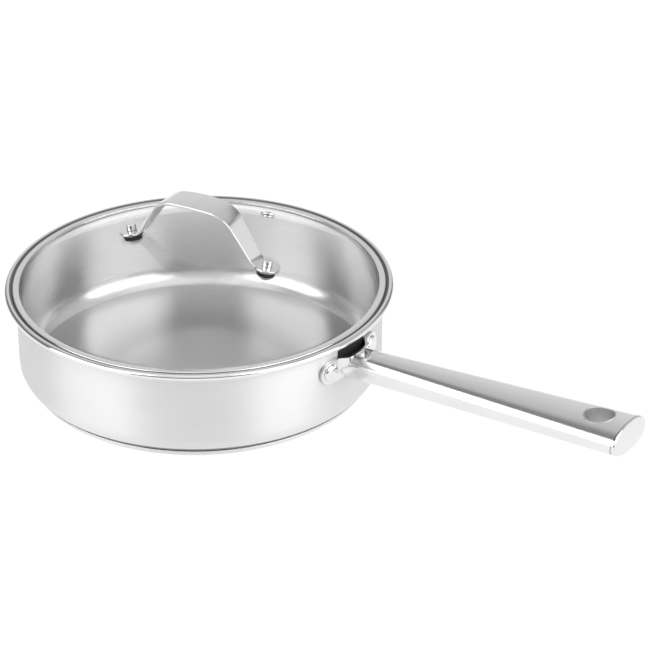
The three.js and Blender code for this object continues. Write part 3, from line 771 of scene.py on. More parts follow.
def make_vessel(settings):
    """Floor, corner, wall and flared lip of one spun sheet, its edge polished and rolled under. Its
    floor, seams and the wall behind the saddle carry painted shade, its inner wall painted light.
    """
    vessel, bracket = settings.vessel, settings.bracket
    floor = vessel.floor_level + vessel.sheet / 2
    wall = vessel.inner_radius + vessel.sheet / 2
    bend = vessel.corner_radius - vessel.sheet / 2
    start = vessel.lip_height - vessel.flare_height
    pocket = bracket.ridge_height - bracket.pocket
    bowl = rounded_path([(0, floor, 0), (wall, floor, bend), (wall, pocket, 0), (wall, start, 0)])
    path = bowl + flare_run(vessel, 0, math.pi / 2, 0)[1:]
    flared = len(path)
    roll = vessel.bead_radius - vessel.sheet / 2
    centre = path[-1] - Vector((0, roll))
    for swing in spaced(0, BEAD_TURN, FLARE_STEPS)[1:]:
        path.append(centre + Vector((math.sin(swing), math.cos(swing))) * roll)
    loop = sheet_loop(path, vessel.sheet)
    floor_end = len(bowl) // 4
    corner_middle = len(bowl) - 2 - math.ceil(math.pi / 2 / ARC_STEP / 2)
    # The loop starts along the inside, and its end runs back along the outside
    slots = [POLISHED] * len(loop)
    # The floor and the foot of the corner get the darker copy of the satin as painted shade, the inner
    # wall the lighter copy as painted light, and the lid's seat, the tuck under the lip and the outside
    # down to the base get dark painted shade
    for side in range(flared - SEAT_START):
        slots[side] = SHADED_FLOOR if side < floor_end else LIT_SPUN
        slots[-2 - side] = SEAM_SHADE if side < corner_middle else WALL
    for side in range(flared - SEAT_START, flared - SEAT_END):
        slots[side] = SEAM_SHADE
    for side in range(flared - TUCK_START, len(path)):
        slots[-2 - side] = SEAM_SHADE
    makers = polished_steel, lit_satin_steel, wall_steel, painted_seam_shade, painted_pocket_shade, shaded_floor_steel
    finishes = [make(settings.finish) for make in makers]
    piece = new_piece("vessel_shell", turned(loop, closed=False, slots=slots), *finishes)
    # The outside of the wall behind the saddle gets near-black painted shade
    between_lobes = bracket.rivet_spacing / 2 - bracket.lobe_radius
    for face in piece.data.polygons:
        behind = face.center.x > 0 and abs(face.center.y) < between_lobes and face.center.z > pocket
        if behind and face.material_index == WALL:
            face.material_index = POCKET_SHADE
    seat(piece, "pan", "polished_steel", "pan_body")


def make_capsule(settings):
    """Pressed dish round the base, its edge rolled in towards the vessel's corner."""
    vessel = settings.vessel
    middle = vessel.capsule_sheet / 2
    outside = wall_outside(vessel) - vessel.capsule_inset
    bend = vessel.capsule_corner - middle
    centre = Vector((outside - vessel.capsule_corner, vessel.capsule_corner))
    top = CAPSULE_TOP - vessel.capsule_gap
    last = math.asin((top - centre.y) / vessel.capsule_corner)
    edge = [
        centre + Vector((math.cos(swing), math.sin(swing))) * bend
        for swing in spaced(-math.pi / 2, last, FLARE_STEPS)
    ]
    loop = sheet_loop([Vector((0, middle))] + edge, vessel.capsule_sheet)
    piece = new_piece("capsule_shell", turned(loop, closed=False), wall_steel(settings.finish))
    seat(piece, "pan", "polished_steel", "base_cap")
    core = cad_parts["base_core"]
    core.data.materials.clear()
    core.data.materials.append(rolled_aluminium(settings.finish))


# Bracket and rivets
def plate_point(settings, y, z):
    """Point of the plate's middle, which leans off the wall in front of the pocket."""
    bracket = settings.bracket
    blended = bracket.rivet_spacing / 2 - bracket.head_radius
    floor = bracket.ridge_height - bracket.pocket
    lean = eased(z, floor - bracket.sheet, floor + bracket.sheet)
    lift = bracket.standoff * lean * (1 - eased(abs(y), bracket.saddle_half, blended))
    radius = wall_outside(settings.vessel) + settings.lid.seat_gap + bracket.sheet / 2 + lift
    return Vector((math.sqrt(radius**2 - y**2), y, z))


def bracket_columns(bracket):
    """Columns (y, low, high) of the plate's front, from one lobe to the other."""
    lobe = bracket.rivet_spacing / 2
    ridge = bracket.ridge_height - bracket.rivet_height
    radius = bracket.lobe_radius
    half = []
    for share in spaced(0, 1, SMALL_STEPS // 2):
        across = drawn(share, 0, lobe / 2, lobe / 2, lobe)
        half.append((across, -radius, drawn(share, ridge, ridge, radius, radius)))
    for swing in spaced(0, math.pi / 2, SMALL_STEPS // 4)[1:]:
        tall = radius * math.cos(swing)
        half.append((lobe + radius * math.sin(swing), -tall, tall))
    mirrored = [(-y, low, high) for y, low, high in half[:0:-1]]
    return mirrored + half


def make_bracket(settings):
    """Two lobes bent to the wall and a saddle that stands off it, with painted shade on its back."""
    bracket = settings.bracket
    columns = [
        [plate_point(settings, y, bracket.rivet_height + z) for z in spaced(low, high, SMALL_STEPS // 2)]
        for y, low, high in bracket_columns(bracket)
    ]
    finishes = polished_steel(settings.finish), painted_pocket_shade(settings.finish)
    piece = new_piece("bracket_saddle", skinned(columns, closed=False), *finishes)
    thick = piece.modifiers.new("Thick", "SOLIDIFY")
    thick.thickness = bracket.sheet
    thick.offset = 0
    edge = piece.modifiers.new("Edge", "BEVEL")
    edge.width = bracket.sheet / 4
    edge.segments = EDGE_STEPS // 2
    edge.limit_method = "ANGLE"
    edge.angle_limit = BEVEL_ANGLE
    settle(piece)
    # The faces that look at the wall get near-black painted shade
    for face in piece.data.polygons:
        outward = Vector((face.center.x, face.center.y, 0)).normalized()
        face.material_index = int(face.normal.dot(outward) < FACES_WALL)
    seat(piece, "pan", "polished_steel", "handle_bracket")


def make_rivets(settings):
    """Rivets along the wall's normal: a domed head outside, a flat one inside."""
    vessel, bracket = settings.vessel, settings.bracket
    plate = wall_outside(vessel) + bracket.sheet + settings.lid.seat_gap
    face = math.sqrt(vessel.inner_radius**2 - bracket.inner_head_radius**2)
    flat = face - bracket.inner_head_height
    round_edge = bracket.inner_head_height / 2
    inside = rounded_path([
        (0, flat, 0),
        (bracket.inner_head_radius, flat, round_edge),
        (bracket.inner_head_radius, face, 0),
    ])
    dome = [
        (bracket.head_radius * math.cos(swing), plate + bracket.head_height * math.sin(swing))
        for swing in spaced(0, math.pi / 2, 2 * EDGE_STEPS)
    ]
    shank = [(bracket.rivet_radius, face), (bracket.rivet_radius, plate)]
    rivet = turned([tuple(p) for p in inside] + shank + dome, SMALL_STEPS, closed=False)
    turn = math.asin(bracket.rivet_spacing / 2 / plate)
    for side, sign in (("left", 1), ("right", -1)):
        place = Matrix.Translation((0, 0, bracket.rivet_height)) @ Matrix.Rotation(sign * turn, 4, "Z")
        lay = place @ Matrix.Rotation(math.pi / 2, 4, "Y")
        piece = new_piece(f"rivet_{side}", placed(rivet, lay), polished_steel(settings.finish))
        seat(piece, "pan", "polished_steel", f"handle_rivet_{side}")


# Long handle
def handle_frame(settings):
    """Frame on the middle line at the wall: X along the handle, Z up across it."""
    start = Matrix.Translation((wall_outside(settings.vessel), 0, settings.handle.height))
    return start @ Matrix.Rotation(-settings.handle.slope, 4, "Y")


def hole_frame(settings):
    """Frame of the hanging hole."""
    handle = settings.handle
    return handle_frame(settings) @ Matrix.Translation((handle.reach - handle.hole_setback, 0, 0))


def handle_half(handle, x):
    """Half the width and half the depth of the handle at a distance from the wall."""
    share = x / handle.reach
    spread = handle.root_flare * max(0.0, 1 - x / handle.root_blend) ** 2
    wide = handle.root_width + (handle.end_width - handle.root_width) * share + 2 * spread
    deep = handle.root_thickness + (handle.end_thickness - handle.root_thickness) * share
    return wide / 2, deep / 2


def handle_section(handle, x, inset=0.0, lean=0.0):
    """Points of the oval cross-section at a distance from the wall."""
    wide, deep = handle_half(handle, x)
    section = []
    for i in range(OVAL_STEPS):
        swing = 2 * math.pi * i / OVAL_STEPS
        across = math.copysign(abs(math.cos(swing)) ** (2 / handle.fullness), math.cos(swing))
        up = math.copysign(abs(math.sin(swing)) ** (2 / handle.fullness), math.sin(swing))
        z = (deep - inset) * up
        section.append(Vector((x + lean * z, (wide - inset) * across, z)))
    return section


def pocket_room(settings):
    """Room on the pan's side of the plate, from the pocket's floor upward."""
    bracket = settings.bracket
    low = bracket.ridge_height - bracket.pocket - bracket.sheet
    high = bracket.ridge_height + bracket.pocket
    back = settings.vessel.inner_radius / 2
    sections = []
    for y in spaced(-bracket.rivet_spacing / 2, bracket.rivet_spacing / 2, SMALL_STEPS):
        front = [plate_point(settings, y, z) for z in spaced(low, high, SMALL_STEPS // 4)]
        sections.append(front + [Vector((back, y, high)), Vector((back, y, low))])
    return lofted(sections)


def bowl_fall(handle, x, y):
    """How far the crown falls into the thumb bowl behind the saddle."""
    half = handle.bowl_width / 2
    across = 1 - eased(abs(y), half / 4, half)
    end = handle.bowl_length + handle.tongue * (y / half) ** 2
    return handle.bowl_depth * across * (1 - eased(x, end - handle.bowl_depth, end))


def make_tube(settings):
    """Tapered oval handle with a thumb bowl in its root and a bore for the hanging hole."""
    bracket, handle = settings.bracket, settings.handle
    start = bracket.sheet / 2 + settings.lid.seat_gap
    end = handle.reach - handle.cap_round - handle.cap_skirt - handle.seam
    root_end = handle.bowl_length + 2 * handle.tongue
    root = spaced(start, root_end, SMALL_STEPS)
    stations = root[:-1] + spaced(root_end, end, SMALL_STEPS // 2)
    sections = []
    for x in stations:
        lean = handle.end_lean * eased(x, root_end, end)
        section = handle_section(handle, x, lean=lean)
        for point in section:
            point.z -= bowl_fall(handle, x, point.y) * (point.z > 0)
        sections.append(section)
    skin = placed(lofted(sections), handle_frame(settings))
    piece = new_piece("handle_bar", skin, smooth_steel(settings.finish))
    bore = rod(handle.hole_radius + handle.sleeve_wall, -handle.end_thickness, handle.end_thickness)
    cut(piece, placed(bore, hole_frame(settings)), pocket_room(settings))
    seat(piece, "pan", "brushed_steel", "handle_tube")


def make_sleeve(settings):
    """Sleeve through the hanging hole with a rolled rim at both ends that follows the oval."""
    handle = settings.handle
    centre = handle.reach - handle.hole_setback
    outer = handle.hole_radius + handle.sleeve_wall
    roll = handle.sleeve_wall / 2
    sections = []
    for k in range(SMALL_STEPS):
        swing = 2 * math.pi * k / SMALL_STEPS
        out = Vector((math.cos(swing), math.sin(swing), 0))
        wide, deep = handle_half(handle, centre + out.x * outer)
        fill = 1 - abs(out.y * outer / wide) ** handle.fullness
        rim = deep * fill ** (1 / handle.fullness) + handle.sleeve_proud
        profile = rounded_path([
            (outer, 0, 0), (outer, rim, roll), (handle.hole_radius, rim, roll),
            (handle.hole_radius, -rim, roll), (outer, -rim, roll), (outer, 0, 0),
        ])[:-1]
        sections.append([out * across + Vector((0, 0, up)) for across, up in profile])
    skin = placed(skinned(sections, loop=True), hole_frame(settings))
    piece = new_piece("hole_sleeve", skin, dull_steel(settings.finish))
    seat(piece, "pan", "polished_steel", "hanging_sleeve")


def make_end_cap(settings):
    """Rounded cap on the free end."""
    handle = settings.handle
    start = handle.reach - handle.cap_round - handle.cap_skirt
    stations = [(start, handle.seam), (start + handle.seam, 0)]
    for swing in spaced(0, math.pi / 2, EDGE_STEPS):
        x = handle.reach - handle.cap_round * (1 - math.sin(swing))
        stations.append((x, handle.cap_round * (1 - math.cos(swing))))
    sections = []
    for x, inset in stations:
        turn = (handle.face_lean - handle.end_lean) * (x - start) / (handle.reach - start)
        sections.append(handle_section(handle, x, inset, handle.end_lean + turn))
    skin = placed(lofted(sections), handle_frame(settings))
    piece = new_piece("handle_cap", skin, polished_steel(settings.finish))
    seat(piece, "pan", "polished_steel", "handle_end_cap")


# Lid
class LidLevels:
    """Levels and radii of the lid that follow from its sizes."""

    def __init__(self, settings):
        vessel, lid = settings.vessel, settings.lid
        self.band_top = vessel.lip_height + lid.band_proud
        self.glass_top = self.band_top - lid.band_sheet
        self.glass_bottom = self.glass_top - lid.glass
        self.band_radius = wall_outside(vessel) + vessel.lip_reach - lid.band_setback
        self.lip_radius = self.band_radius - lid.band_lip
        self.seat = vessel.sheet / 2 + lid.seat_gap + lid.band_sheet / 2
        inner = self.seat + lid.band_sheet / 2
        swing = flare_swing(vessel, 1, self.glass_bottom, inner)
        self.glass_radius = flare_at(vessel, swing, inner).x
        self.sphere = (self.lip_radius**2 + lid.dome_rise**2) / (2 * lid.dome_rise)
        self.centre = self.glass_top + lid.dome_rise - self.sphere

    def dome_height(self, radius):
        """Top of the glass at a radius."""
        return self.centre + math.sqrt(self.sphere**2 - radius**2)

    def on_dome(self, x, y):
        """Frame on the glass, Z along its normal, with the lid's turn."""
        radius = math.hypot(x, y)
        tilt = Matrix.Rotation(math.asin(radius / self.sphere), 4, Vector((-y, x, 0)))
        place = Matrix.Translation((x, y, self.dome_height(radius)))
        return Matrix.Rotation(LID_TURN, 4, "Z") @ place @ tilt


def foot_frames(settings):
    """Frames of the lid handle's two feet."""
    levels = LidLevels(settings)
    half = settings.grip.foot_spacing / 2
    return {"left": levels.on_dome(-half, 0), "right": levels.on_dome(half, 0)}


def vent_frame(settings):
    """Frame of the steam vent."""
    turn = math.pi / 2 + settings.lid.vent_turn
    reach = settings.lid.vent_reach
    return LidLevels(settings).on_dome(reach * math.cos(turn), reach * math.sin(turn))


def make_glass(settings):
    """Domed glass with a rounded edge, two screw holes and a vent hole."""
    lid, grip, levels = settings.lid, settings.grip, LidLevels(settings)
    under = levels.sphere - lid.glass
    under_radius = math.sqrt(under**2 - (levels.glass_bottom - levels.centre) ** 2)
    top = [(r, levels.dome_height(r)) for r in spaced(0, levels.lip_radius, DOME_STEPS)]
    low = [
        (r, levels.centre + math.sqrt(under**2 - r**2)) for r in spaced(under_radius, 0, DOME_STEPS)
    ]
    edge = rounded_path([
        (levels.lip_radius, levels.glass_top, 0),
        (levels.glass_radius, levels.glass_top, lid.glass / 4),
        (levels.glass_radius, levels.glass_bottom, lid.glass / 4),
        (under_radius, levels.glass_bottom, 0),
    ])[1:-1]
    profile = top + [tuple(p) for p in edge] + low
    piece = new_piece("glass_dome", turned(profile, closed=False), clear_glass(settings.finish))
    screw_hole = rod(grip.collar_radius + grip.gap, -2 * lid.glass, lid.glass)
    vent_hole = rod(lid.vent_neck + grip.gap, -2 * lid.glass, lid.glass)
    feet = foot_frames(settings).values()
    cut(piece, *[placed(screw_hole, foot) for foot in feet], placed(vent_hole, vent_frame(settings)))
    seat(piece, "lid", "lid_glass", "lid_glass")


def make_band(settings):
    """Folded band round the glass, lying on the flare, with dark painted shade under it."""
    vessel, lid, levels = settings.vessel, settings.lid, LidLevels(settings)
    middle = lid.band_sheet / 2
    low = flare_swing(vessel, 1, levels.glass_bottom - middle, levels.seat)
    high = flare_swing(vessel, 0, levels.band_radius - middle, levels.seat)
    run = flare_run(vessel, low, high, levels.seat)
    fold = rounded_path([
        (*run[-1], 0),
        (levels.band_radius - middle, levels.band_top - middle, lid.band_sheet),
        (levels.lip_radius, levels.band_top - middle, 0),
    ])
    hem = Vector((run[0].x - 2 * lid.band_sheet, run[0].y))
    path = [hem] + run + fold[1:]
    loop = sheet_loop(path, lid.band_sheet, round_start=True)
    # The underside comes last in the loop and ends at the hem
    hem_place = 2 * len(path) + EDGE_STEPS - 2
    # Where it lies on the flare the underside gets dark painted shade
    slots = [int(hem_place - len(run) <= side <= hem_place) for side in range(len(loop))]
    finishes = polished_steel(settings.finish), painted_seam_shade(settings.finish)
    piece = new_piece("rim_band", turned(loop, slots=slots), *finishes)
    seat(piece, "lid", "polished_steel", "lid_band")


def make_vent(settings):
    """Eyelet crimped through the glass."""
    lid, gap = settings.lid, settings.grip.gap
    top, low = gap + lid.flange_height, -lid.glass - gap - lid.flange_height
    lip = lid.flange_height / 2
    corners = [
        (lid.vent_bore, -lid.glass / 2, 0), (lid.vent_bore, low, lip), (lid.vent_flange, low, lip),
        (lid.vent_flange, -lid.glass - gap, 0), (lid.vent_neck, -lid.glass - gap, 0),
        (lid.vent_neck, gap, 0), (lid.vent_flange, gap, 0), (lid.vent_flange, top, lip),
        (lid.vent_bore, top, lip), (lid.vent_bore, -lid.glass / 2, 0),
    ]
    spool = turned(rounded_path(corners)[:-1], SMALL_STEPS)
    finish = polished_steel(settings.finish)
    piece = new_piece("vent_spool", placed(spool, vent_frame(settings)), finish)
    seat(piece, "lid", "polished_steel", "vent_eyelet")


# Lid handle
class StrapLevels:
    """Levels along a foot's normal, from the outer face of the glass."""

    def __init__(self, settings):
        grip, glass = settings.grip, settings.lid.glass
        self.gasket_low = grip.gap
        self.strap_low = 2 * grip.gap + grip.gasket
        self.strap_top = self.strap_low + grip.strap
        self.nut_low = self.strap_top + grip.gap / 2
        self.ring_top = -glass - grip.gap
        self.washer_top = self.ring_top - grip.soft_ring - grip.gap
        self.head_top = self.washer_top - grip.washer - grip.gap


def strap_path(settings):
    """Middle line of the bent strap (x, z), and where its foot's disc is centred."""
    grip, levels = settings.grip, LidLevels(settings)
    half = grip.foot_spacing / 2
    tilt = math.asin(half / levels.sphere)
    up = StrapLevels(settings).strap_low + grip.strap / 2
    foot_x = half + math.sin(tilt) * up
    foot_z = levels.dome_height(half) + math.cos(tilt) * up
    crown = levels.dome_height(half) + grip.rise - grip.strap / 2
    bend = half - grip.foot_run
    shoulder = bend - grip.leg_run
    tip = foot_x + grip.foot_radius * math.cos(tilt)

    def on_foot(x):
        return foot_z - (x - foot_x) * math.tan(tilt)

    right = [
        (shoulder, crown - grip.crown_drop, grip.shoulder_radius),
        (bend, on_foot(bend), grip.foot_bend),
        (tip, on_foot(tip), 0),
    ]
    left = [(-x, z, radius) for x, z, radius in right[::-1]]
    path = rounded_path(left + [(0, crown, grip.crown_radius)] + right)
    return path, foot_x


def strap_half_width(settings, x, foot_x):
    """Half the strap's width over a place along it: a waisted grip with round feet."""
    grip = settings.grip
    half = grip.foot_spacing / 2
    bend = half - grip.foot_run
    reach = abs(x)
    shoulder, knee = bend - grip.leg_run, bend - grip.leg_run / 2
    share = last_short(0.0, 1.0, lambda t: drawn(t, 0, shoulder, knee, half) < reach)
    leg = drawn(share, grip.grip_width, grip.grip_width, grip.waist_width, grip.waist_width) / 2
    from_foot = abs(reach - foot_x)
    disc = math.sqrt(max(0.0, grip.foot_radius**2 - from_foot**2))
    return disc if reach > foot_x else max(leg, disc)


def make_strap(settings):
    """Bent strap with softly rounded edges."""
    grip = settings.grip
    path, foot_x = strap_path(settings)
    fine = []
    for here, after in zip(path, path[1:]):
        count = max(1, math.ceil((after - here).length / MM))
        fine += [here.lerp(after, share) for share in spaced(0, 1, count)[:-1]]
    fine.append(path[-1])
    normals = path_normals(fine)
    sections = []
    for point, normal in zip(fine, normals):
        half = max(strap_half_width(settings, point.x, foot_x), grip.strap_edge / 2)
        edge = min(grip.strap_edge, half * EDGE_SHARE)
        deep = grip.strap / 2
        loop = rounded_path([
            (0, -deep, 0), (half, -deep, edge), (half, deep, edge), (0, deep, 0),
        ], EDGE_STEPS)
        outline = loop[:-1] + [Vector((-p.x, p.y)) for p in loop[:0:-1]]
        sections.append([
            Vector((point.x + normal.x * up, across, point.y + normal.y * up)) for across, up in outline
        ])
    turn = Matrix.Rotation(LID_TURN, 4, "Z")
    piece = new_piece("lid_strap", placed(lofted(sections), turn), smooth_steel(settings.finish))
    seat(piece, "lid", "brushed_steel", "lid_handle")


def make_fittings(settings):
    """Post, gasket, soft ring, washer and screw at each foot."""
    grip, glass, levels = settings.grip, settings.lid.glass, StrapLevels(settings)
    colours = settings.finish
    hole = grip.screw_radius + grip.gap
    nut_top = levels.nut_low + grip.nut_height
    chamfer = grip.nut_radius / 6
    nut = turned(rounded_path([
        (0, levels.nut_low, 0), (grip.nut_radius, levels.nut_low, chamfer / 2),
        (grip.nut_radius, nut_top, chamfer), (0, nut_top + chamfer / 3, 0),
    ]), SMALL_STEPS, closed=False)
    gasket_top = levels.gasket_low + grip.gasket
    soft = grip.gasket / 3
    gasket = turned(rounded_path([
        (hole, -glass + 2 * grip.gap, 0), (grip.collar_radius, -glass + 2 * grip.gap, 0),
        (grip.collar_radius, levels.gasket_low, 0), (grip.gasket_radius, levels.gasket_low, soft),
        (grip.gasket_radius, gasket_top, soft), (hole, gasket_top, 0),
    ]), SMALL_STEPS)
    soft_ring = ring(hole, grip.ring_radius, levels.ring_top - grip.soft_ring, levels.ring_top, soft)
    washer = ring(hole, grip.ring_radius, levels.washer_top - grip.washer, levels.washer_top, soft / 2)
    head_low = levels.head_top - grip.screw_head_height
    dome = grip.screw_head_height / 2
    tip = levels.nut_low + grip.nut_height / 2
    screw = turned(rounded_path([
        (0, head_low, 0), (grip.screw_head, head_low, dome), (grip.screw_head, levels.head_top, 0),
        (grip.screw_radius, levels.head_top, 0), (grip.screw_radius, tip, 0), (0, tip, 0),
    ]), SMALL_STEPS, closed=False)
    steel, silicone = polished_steel(colours), black_silicone(colours)
    kinds = [
        ("post", "lid_cap_nut", nut, steel, "polished_steel"),
        ("foot_seal", "lid_foot_gasket", gasket, silicone, "black_silicone"),
        ("under_seal", "lid_under_gasket", soft_ring, silicone, "black_silicone"),
        ("plain_washer", "lid_washer", washer, steel, "polished_steel"),
        ("slotted_screw", "lid_screw", screw, steel, "polished_steel"),
    ]
    slot = lofted([
        [
            Vector((end * 2 * grip.screw_head, across * grip.slot_width / 2, head_low + up * dome))
            for across, up in ((-1, -1), (1, -1), (1, 1), (-1, 1))
        ]
        for end in (-1, 1)
    ])
    for side, foot in foot_frames(settings).items():
        for name, node, geometry, finish, finish_slot in kinds:
            piece = new_piece(f"{name}_{side}", placed(geometry, foot), finish)
            if name == "slotted_screw":
                cut(piece, placed(slot, foot))
            seat(piece, "lid", finish_slot, f"{node}_{side}")


# Stage
def facing(stage, swing=0.0, lift=0.0):
    """Direction from the pan to the camera, swung round the pan and lifted above the horizon."""
    turn = stage.azimuth + swing
    level = Vector((math.sin(turn), -math.cos(turn), 0))
    return level * math.cos(lift) + Vector((0, 0, math.sin(lift)))


def graded(tree, value, low, high):
    """Smooth step of a value between two places."""
    inputs = {"Value": value, "From Min": low, "From Max": high}
    step = add_node(tree, "ShaderNodeMapRange", inputs, interpolation_type="SMOOTHSTEP")
    return step.outputs["Result"]


def mixed(tree, factor, first, second):
    """Blend of two colours, each a plain one or a node's output."""
    inputs = {"Factor": factor}
    for socket, value in (("A", first), ("B", second)):
        linked = isinstance(value, bpy.types.NodeSocket)
        inputs[socket] = value if linked else (*value, 1)
    return add_node(tree, "ShaderNodeMix", inputs, data_type="RGBA").outputs["Result"]


def vector_math(tree, operation, *inputs):
    """Vector Math node's outputs."""
    return add_node(tree, "ShaderNodeVectorMath", dict(enumerate(inputs)), operation=operation).outputs


def make_world(settings):
    """Plain studio: walls that differ by side and height, under a pale ceiling."""
    colours = settings.finish
    world = bpy.data.worlds.new("studio")
    bpy.context.scene.world = world
    world.use_nodes = True
    tree = world.node_tree
    way = add_node(tree, "ShaderNodeTexCoord").outputs["Generated"]
    height = add_node(tree, "ShaderNodeSeparateXYZ", {0: way}).outputs["Z"]
    level = vector_math(tree, "MULTIPLY", way, (1, 1, 0))["Vector"]
    bearing = vector_math(tree, "NORMALIZE", level)["Vector"]
    front_way, right_way = facing(settings.stage), facing(settings.stage, math.pi / 2)
    toward = vector_math(tree, "DOT_PRODUCT", bearing, front_way)["Value"]
    across = vector_math(tree, "DOT_PRODUCT", bearing, right_way)["Value"]
    side = add_node(tree, "ShaderNodeMapRange", {"Value": toward, "From Min": -1}).outputs["Result"]
    wall = ramp(
        tree, height,
        (BACK_PALE, colours.sky_back), (BACK_GREY, colours.sky_high), (BACK_DARK, colours.sky_beam),
    )
    beside = graded(tree, side, CORNER_START, CORNER_END)
    below = graded(tree, height, CORNER_PALE, CORNER_DARK)
    corner = add_node(tree, "ShaderNodeMath", {0: beside, 1: below}, operation="MULTIPLY")
    wall = mixed(tree, corner.outputs["Value"], wall, colours.sky_gap)
    right = ramp(
        tree, height,
        (RIGHT_PALE, colours.sky_right), (RIGHT_DARK, colours.sky_gap), (RIGHT_GREY, colours.sky_high),
    )
    gap = mixed(tree, graded(tree, across, -SIDE_BLEND, SIDE_BLEND), colours.sky_gap, right)
    back = mixed(tree, graded(tree, side, BACK_END, GAP_START), wall, gap)
    front = ramp(tree, height, (FRONT_DARK, colours.sky_low), (FRONT_PALE, colours.sky_front))
    room = mixed(tree, graded(tree, side, GAP_END, FRONT_START), back, front)
    room = mixed(tree, graded(tree, height, CEILING_LOW, CEILING_HIGH), room, colours.sky_top)
    tree.links.new(room, tree.nodes["Background"].inputs["Color"])


def make_floor(settings):
    """Pale table: white to the camera and in metal and glass, and with the pan's shadow."""
    half = settings.stage.floor_size / 2
    signs = (-1, -1), (1, -1), (1, 1), (-1, 1)
    corners = [Vector((half * x, half * y, 0)) for x, y in signs]
    material = bpy.data.materials.new("pale_table")
    material.use_nodes = True
    tree = material.node_tree
    tree.nodes.remove(tree.nodes["Principled BSDF"])
    pale = settings.finish.floor
    faint = shade(pale, TABLE_SHARE)
    matt = add_node(tree, "ShaderNodeBsdfDiffuse", {"Color": (*pale, 1)}).outputs[0]
    soft = add_node(tree, "ShaderNodeBsdfDiffuse", {"Color": (*faint, 1)}).outputs[0]
    glow = add_node(tree, "ShaderNodeEmission", {"Strength": TABLE_GLOW}).outputs[0]
    white = add_node(tree, "ShaderNodeAddShader", {0: soft, 1: glow}).outputs[0]
    rays = add_node(tree, "ShaderNodeLightPath").outputs
    seen = rays["Is Camera Ray"]
    for name in ("Is Glossy Ray", "Is Transmission Ray"):
        seen = add_node(tree, "ShaderNodeMath", {0: seen, 1: rays[name]}, operation="MAXIMUM").outputs[0]
    mix = add_node(tree, "ShaderNodeMixShader", {0: seen, 1: matt, 2: white}).outputs[0]
    tree.links.new(mix, tree.nodes["Material Output"].inputs["Surface"])
    new_piece("table", (corners, [[0, 1, 2, 3]], [0]), material)


def aim(thing, target):
    """Turns a camera or lamp towards a point."""
    thing.rotation_euler = (target - thing.location).to_track_quat("-Z", "Y").to_euler()


def make_lamps(settings):
    """A soft box on each side of the camera."""
    stage = settings.stage
    for name, swing in (("soft_box_left", -stage.left_swing), ("soft_box_right", stage.right_swing)):
        lamp = bpy.data.lights.new(name, "AREA")
        lamp.shape = "RECTANGLE"
        lamp.size = stage.box_width
        lamp.size_y = stage.box_height
        lamp.energy = stage.box_power
        box = bpy.data.objects.new(name, lamp)
        box.location = facing(stage, swing, stage.box_lift) * stage.box_distance
        aim(box, Vector((0, 0, 0)))
        bpy.context.scene.collection.objects.link(box)


def make_camera(settings):
    """Camera at the viewing angle of the catalogue picture."""
    stage = settings.stage
    camera = bpy.data.cameras.new("catalogue_view")
    camera.lens = stage.lens
    camera.sensor_width = stage.sensor
    camera.clip_end = 2 * stage.floor_size
    eye = bpy.data.objects.new("catalogue_view", camera)
    across = facing(stage, math.pi / 2)
    target = across * stage.target_reach + Vector((0, 0, stage.target_height))
    eye.location = target + facing(stage, lift=stage.elevation) * stage.distance
    aim(eye, target)
    bpy.context.scene.collection.objects.link(eye)
    bpy.context.scene.camera = eye


# Operators
def build(context, *makers):
    """Runs makers with the scene's settings."""
    for maker in makers:
        maker(context.scene.saute_pan)
    return {"FINISHED"}


class SAUTEPAN_OT_vessel(bpy.types.Operator):
    """Make the drawn vessel and its capsule base"""

    bl_idname = "sautepan.vessel"
    bl_label = "Vessel and Base"

    def execute(self, context):
        return build(context, make_vessel, make_capsule)


class SAUTEPAN_OT_bracket(bpy.types.Operator):
    """Make the bracket on the wall and its rivets"""

    bl_idname = "sautepan.bracket"
    bl_label = "Bracket and Rivets"

    def execute(self, context):
        return build(context, make_bracket, make_rivets)


class SAUTEPAN_OT_handle(bpy.types.Operator):
    """Make the long handle, its end cap and the sleeve of its hanging hole"""

    bl_idname = "sautepan.handle"
    bl_label = "Long Handle"

    def execute(self, context):
        return build(context, make_tube, make_sleeve, make_end_cap)


class SAUTEPAN_OT_lid(bpy.types.Operator):
    """Make the domed glass, the band round it and its vent"""

    bl_idname = "sautepan.lid"
    bl_label = "Glass Lid"

    def execute(self, context):
        return build(context, make_glass, make_band, make_vent)


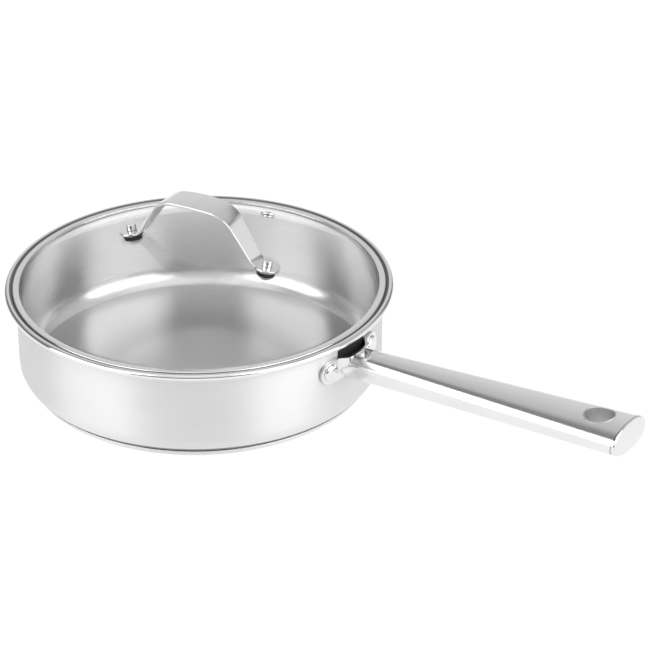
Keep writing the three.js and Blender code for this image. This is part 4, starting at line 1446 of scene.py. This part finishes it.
class SAUTEPAN_OT_grip(bpy.types.Operator):
    """Make the strap on the lid and what screws it down"""

    bl_idname = "sautepan.grip"
    bl_label = "Lid Handle"

    def execute(self, context):
        return build(context, make_strap, make_fittings)


class SAUTEPAN_OT_stage(bpy.types.Operator):
    """Make the table, the room's light and the camera"""

    bl_idname = "sautepan.stage"
    bl_label = "Stage"

    def execute(self, context):
        context.scene.view_settings.view_transform = "Standard"
        return build(context, make_floor, make_world, make_lamps, make_camera)


class SAUTEPAN_PT_sidebar(bpy.types.Panel):
    """Buttons and sizes of the saute pan"""

    bl_idname = "SAUTEPAN_PT_sidebar"
    bl_label = "Saute Pan"
    bl_space_type = "VIEW_3D"
    bl_region_type = "UI"
    bl_category = "Saute Pan"

    def draw(self, context):
        settings = context.scene.saute_pan
        for operator in OPERATORS:
            self.layout.operator(operator.bl_idname)
        for group in [getattr(settings, name) for name in settings.__annotations__]:
            box = self.layout.box()
            for name in group.__annotations__:
                box.prop(group, name)


OPERATORS = (
    SAUTEPAN_OT_vessel,
    SAUTEPAN_OT_bracket,
    SAUTEPAN_OT_handle,
    SAUTEPAN_OT_lid,
    SAUTEPAN_OT_grip,
    SAUTEPAN_OT_stage,
)
CLASSES = (
    SAUTEPAN_PG_vessel,
    SAUTEPAN_PG_bracket,
    SAUTEPAN_PG_handle,
    SAUTEPAN_PG_lid,
    SAUTEPAN_PG_grip,
    SAUTEPAN_PG_finish,
    SAUTEPAN_PG_stage,
    SAUTEPAN_PG_settings,
    *OPERATORS,
    SAUTEPAN_PT_sidebar,
)


def register():
    """Registers the classes and the scene's settings."""
    for each in CLASSES:
        bpy.utils.register_class(each)
    bpy.types.Scene.saute_pan = PointerProperty(type=SAUTEPAN_PG_settings)


def unregister():
    """Takes both away again."""
    del bpy.types.Scene.saute_pan
    for each in reversed(CLASSES):
        bpy.utils.unregister_class(each)


def main():
    """Builds all pieces and the stage."""
    register()
    bpy.ops.sautepan.vessel()
    bpy.ops.sautepan.bracket()
    bpy.ops.sautepan.handle()
    bpy.ops.sautepan.lid()
    bpy.ops.sautepan.grip()
    bpy.ops.sautepan.stage()


if __name__ == "__main__":
    main()
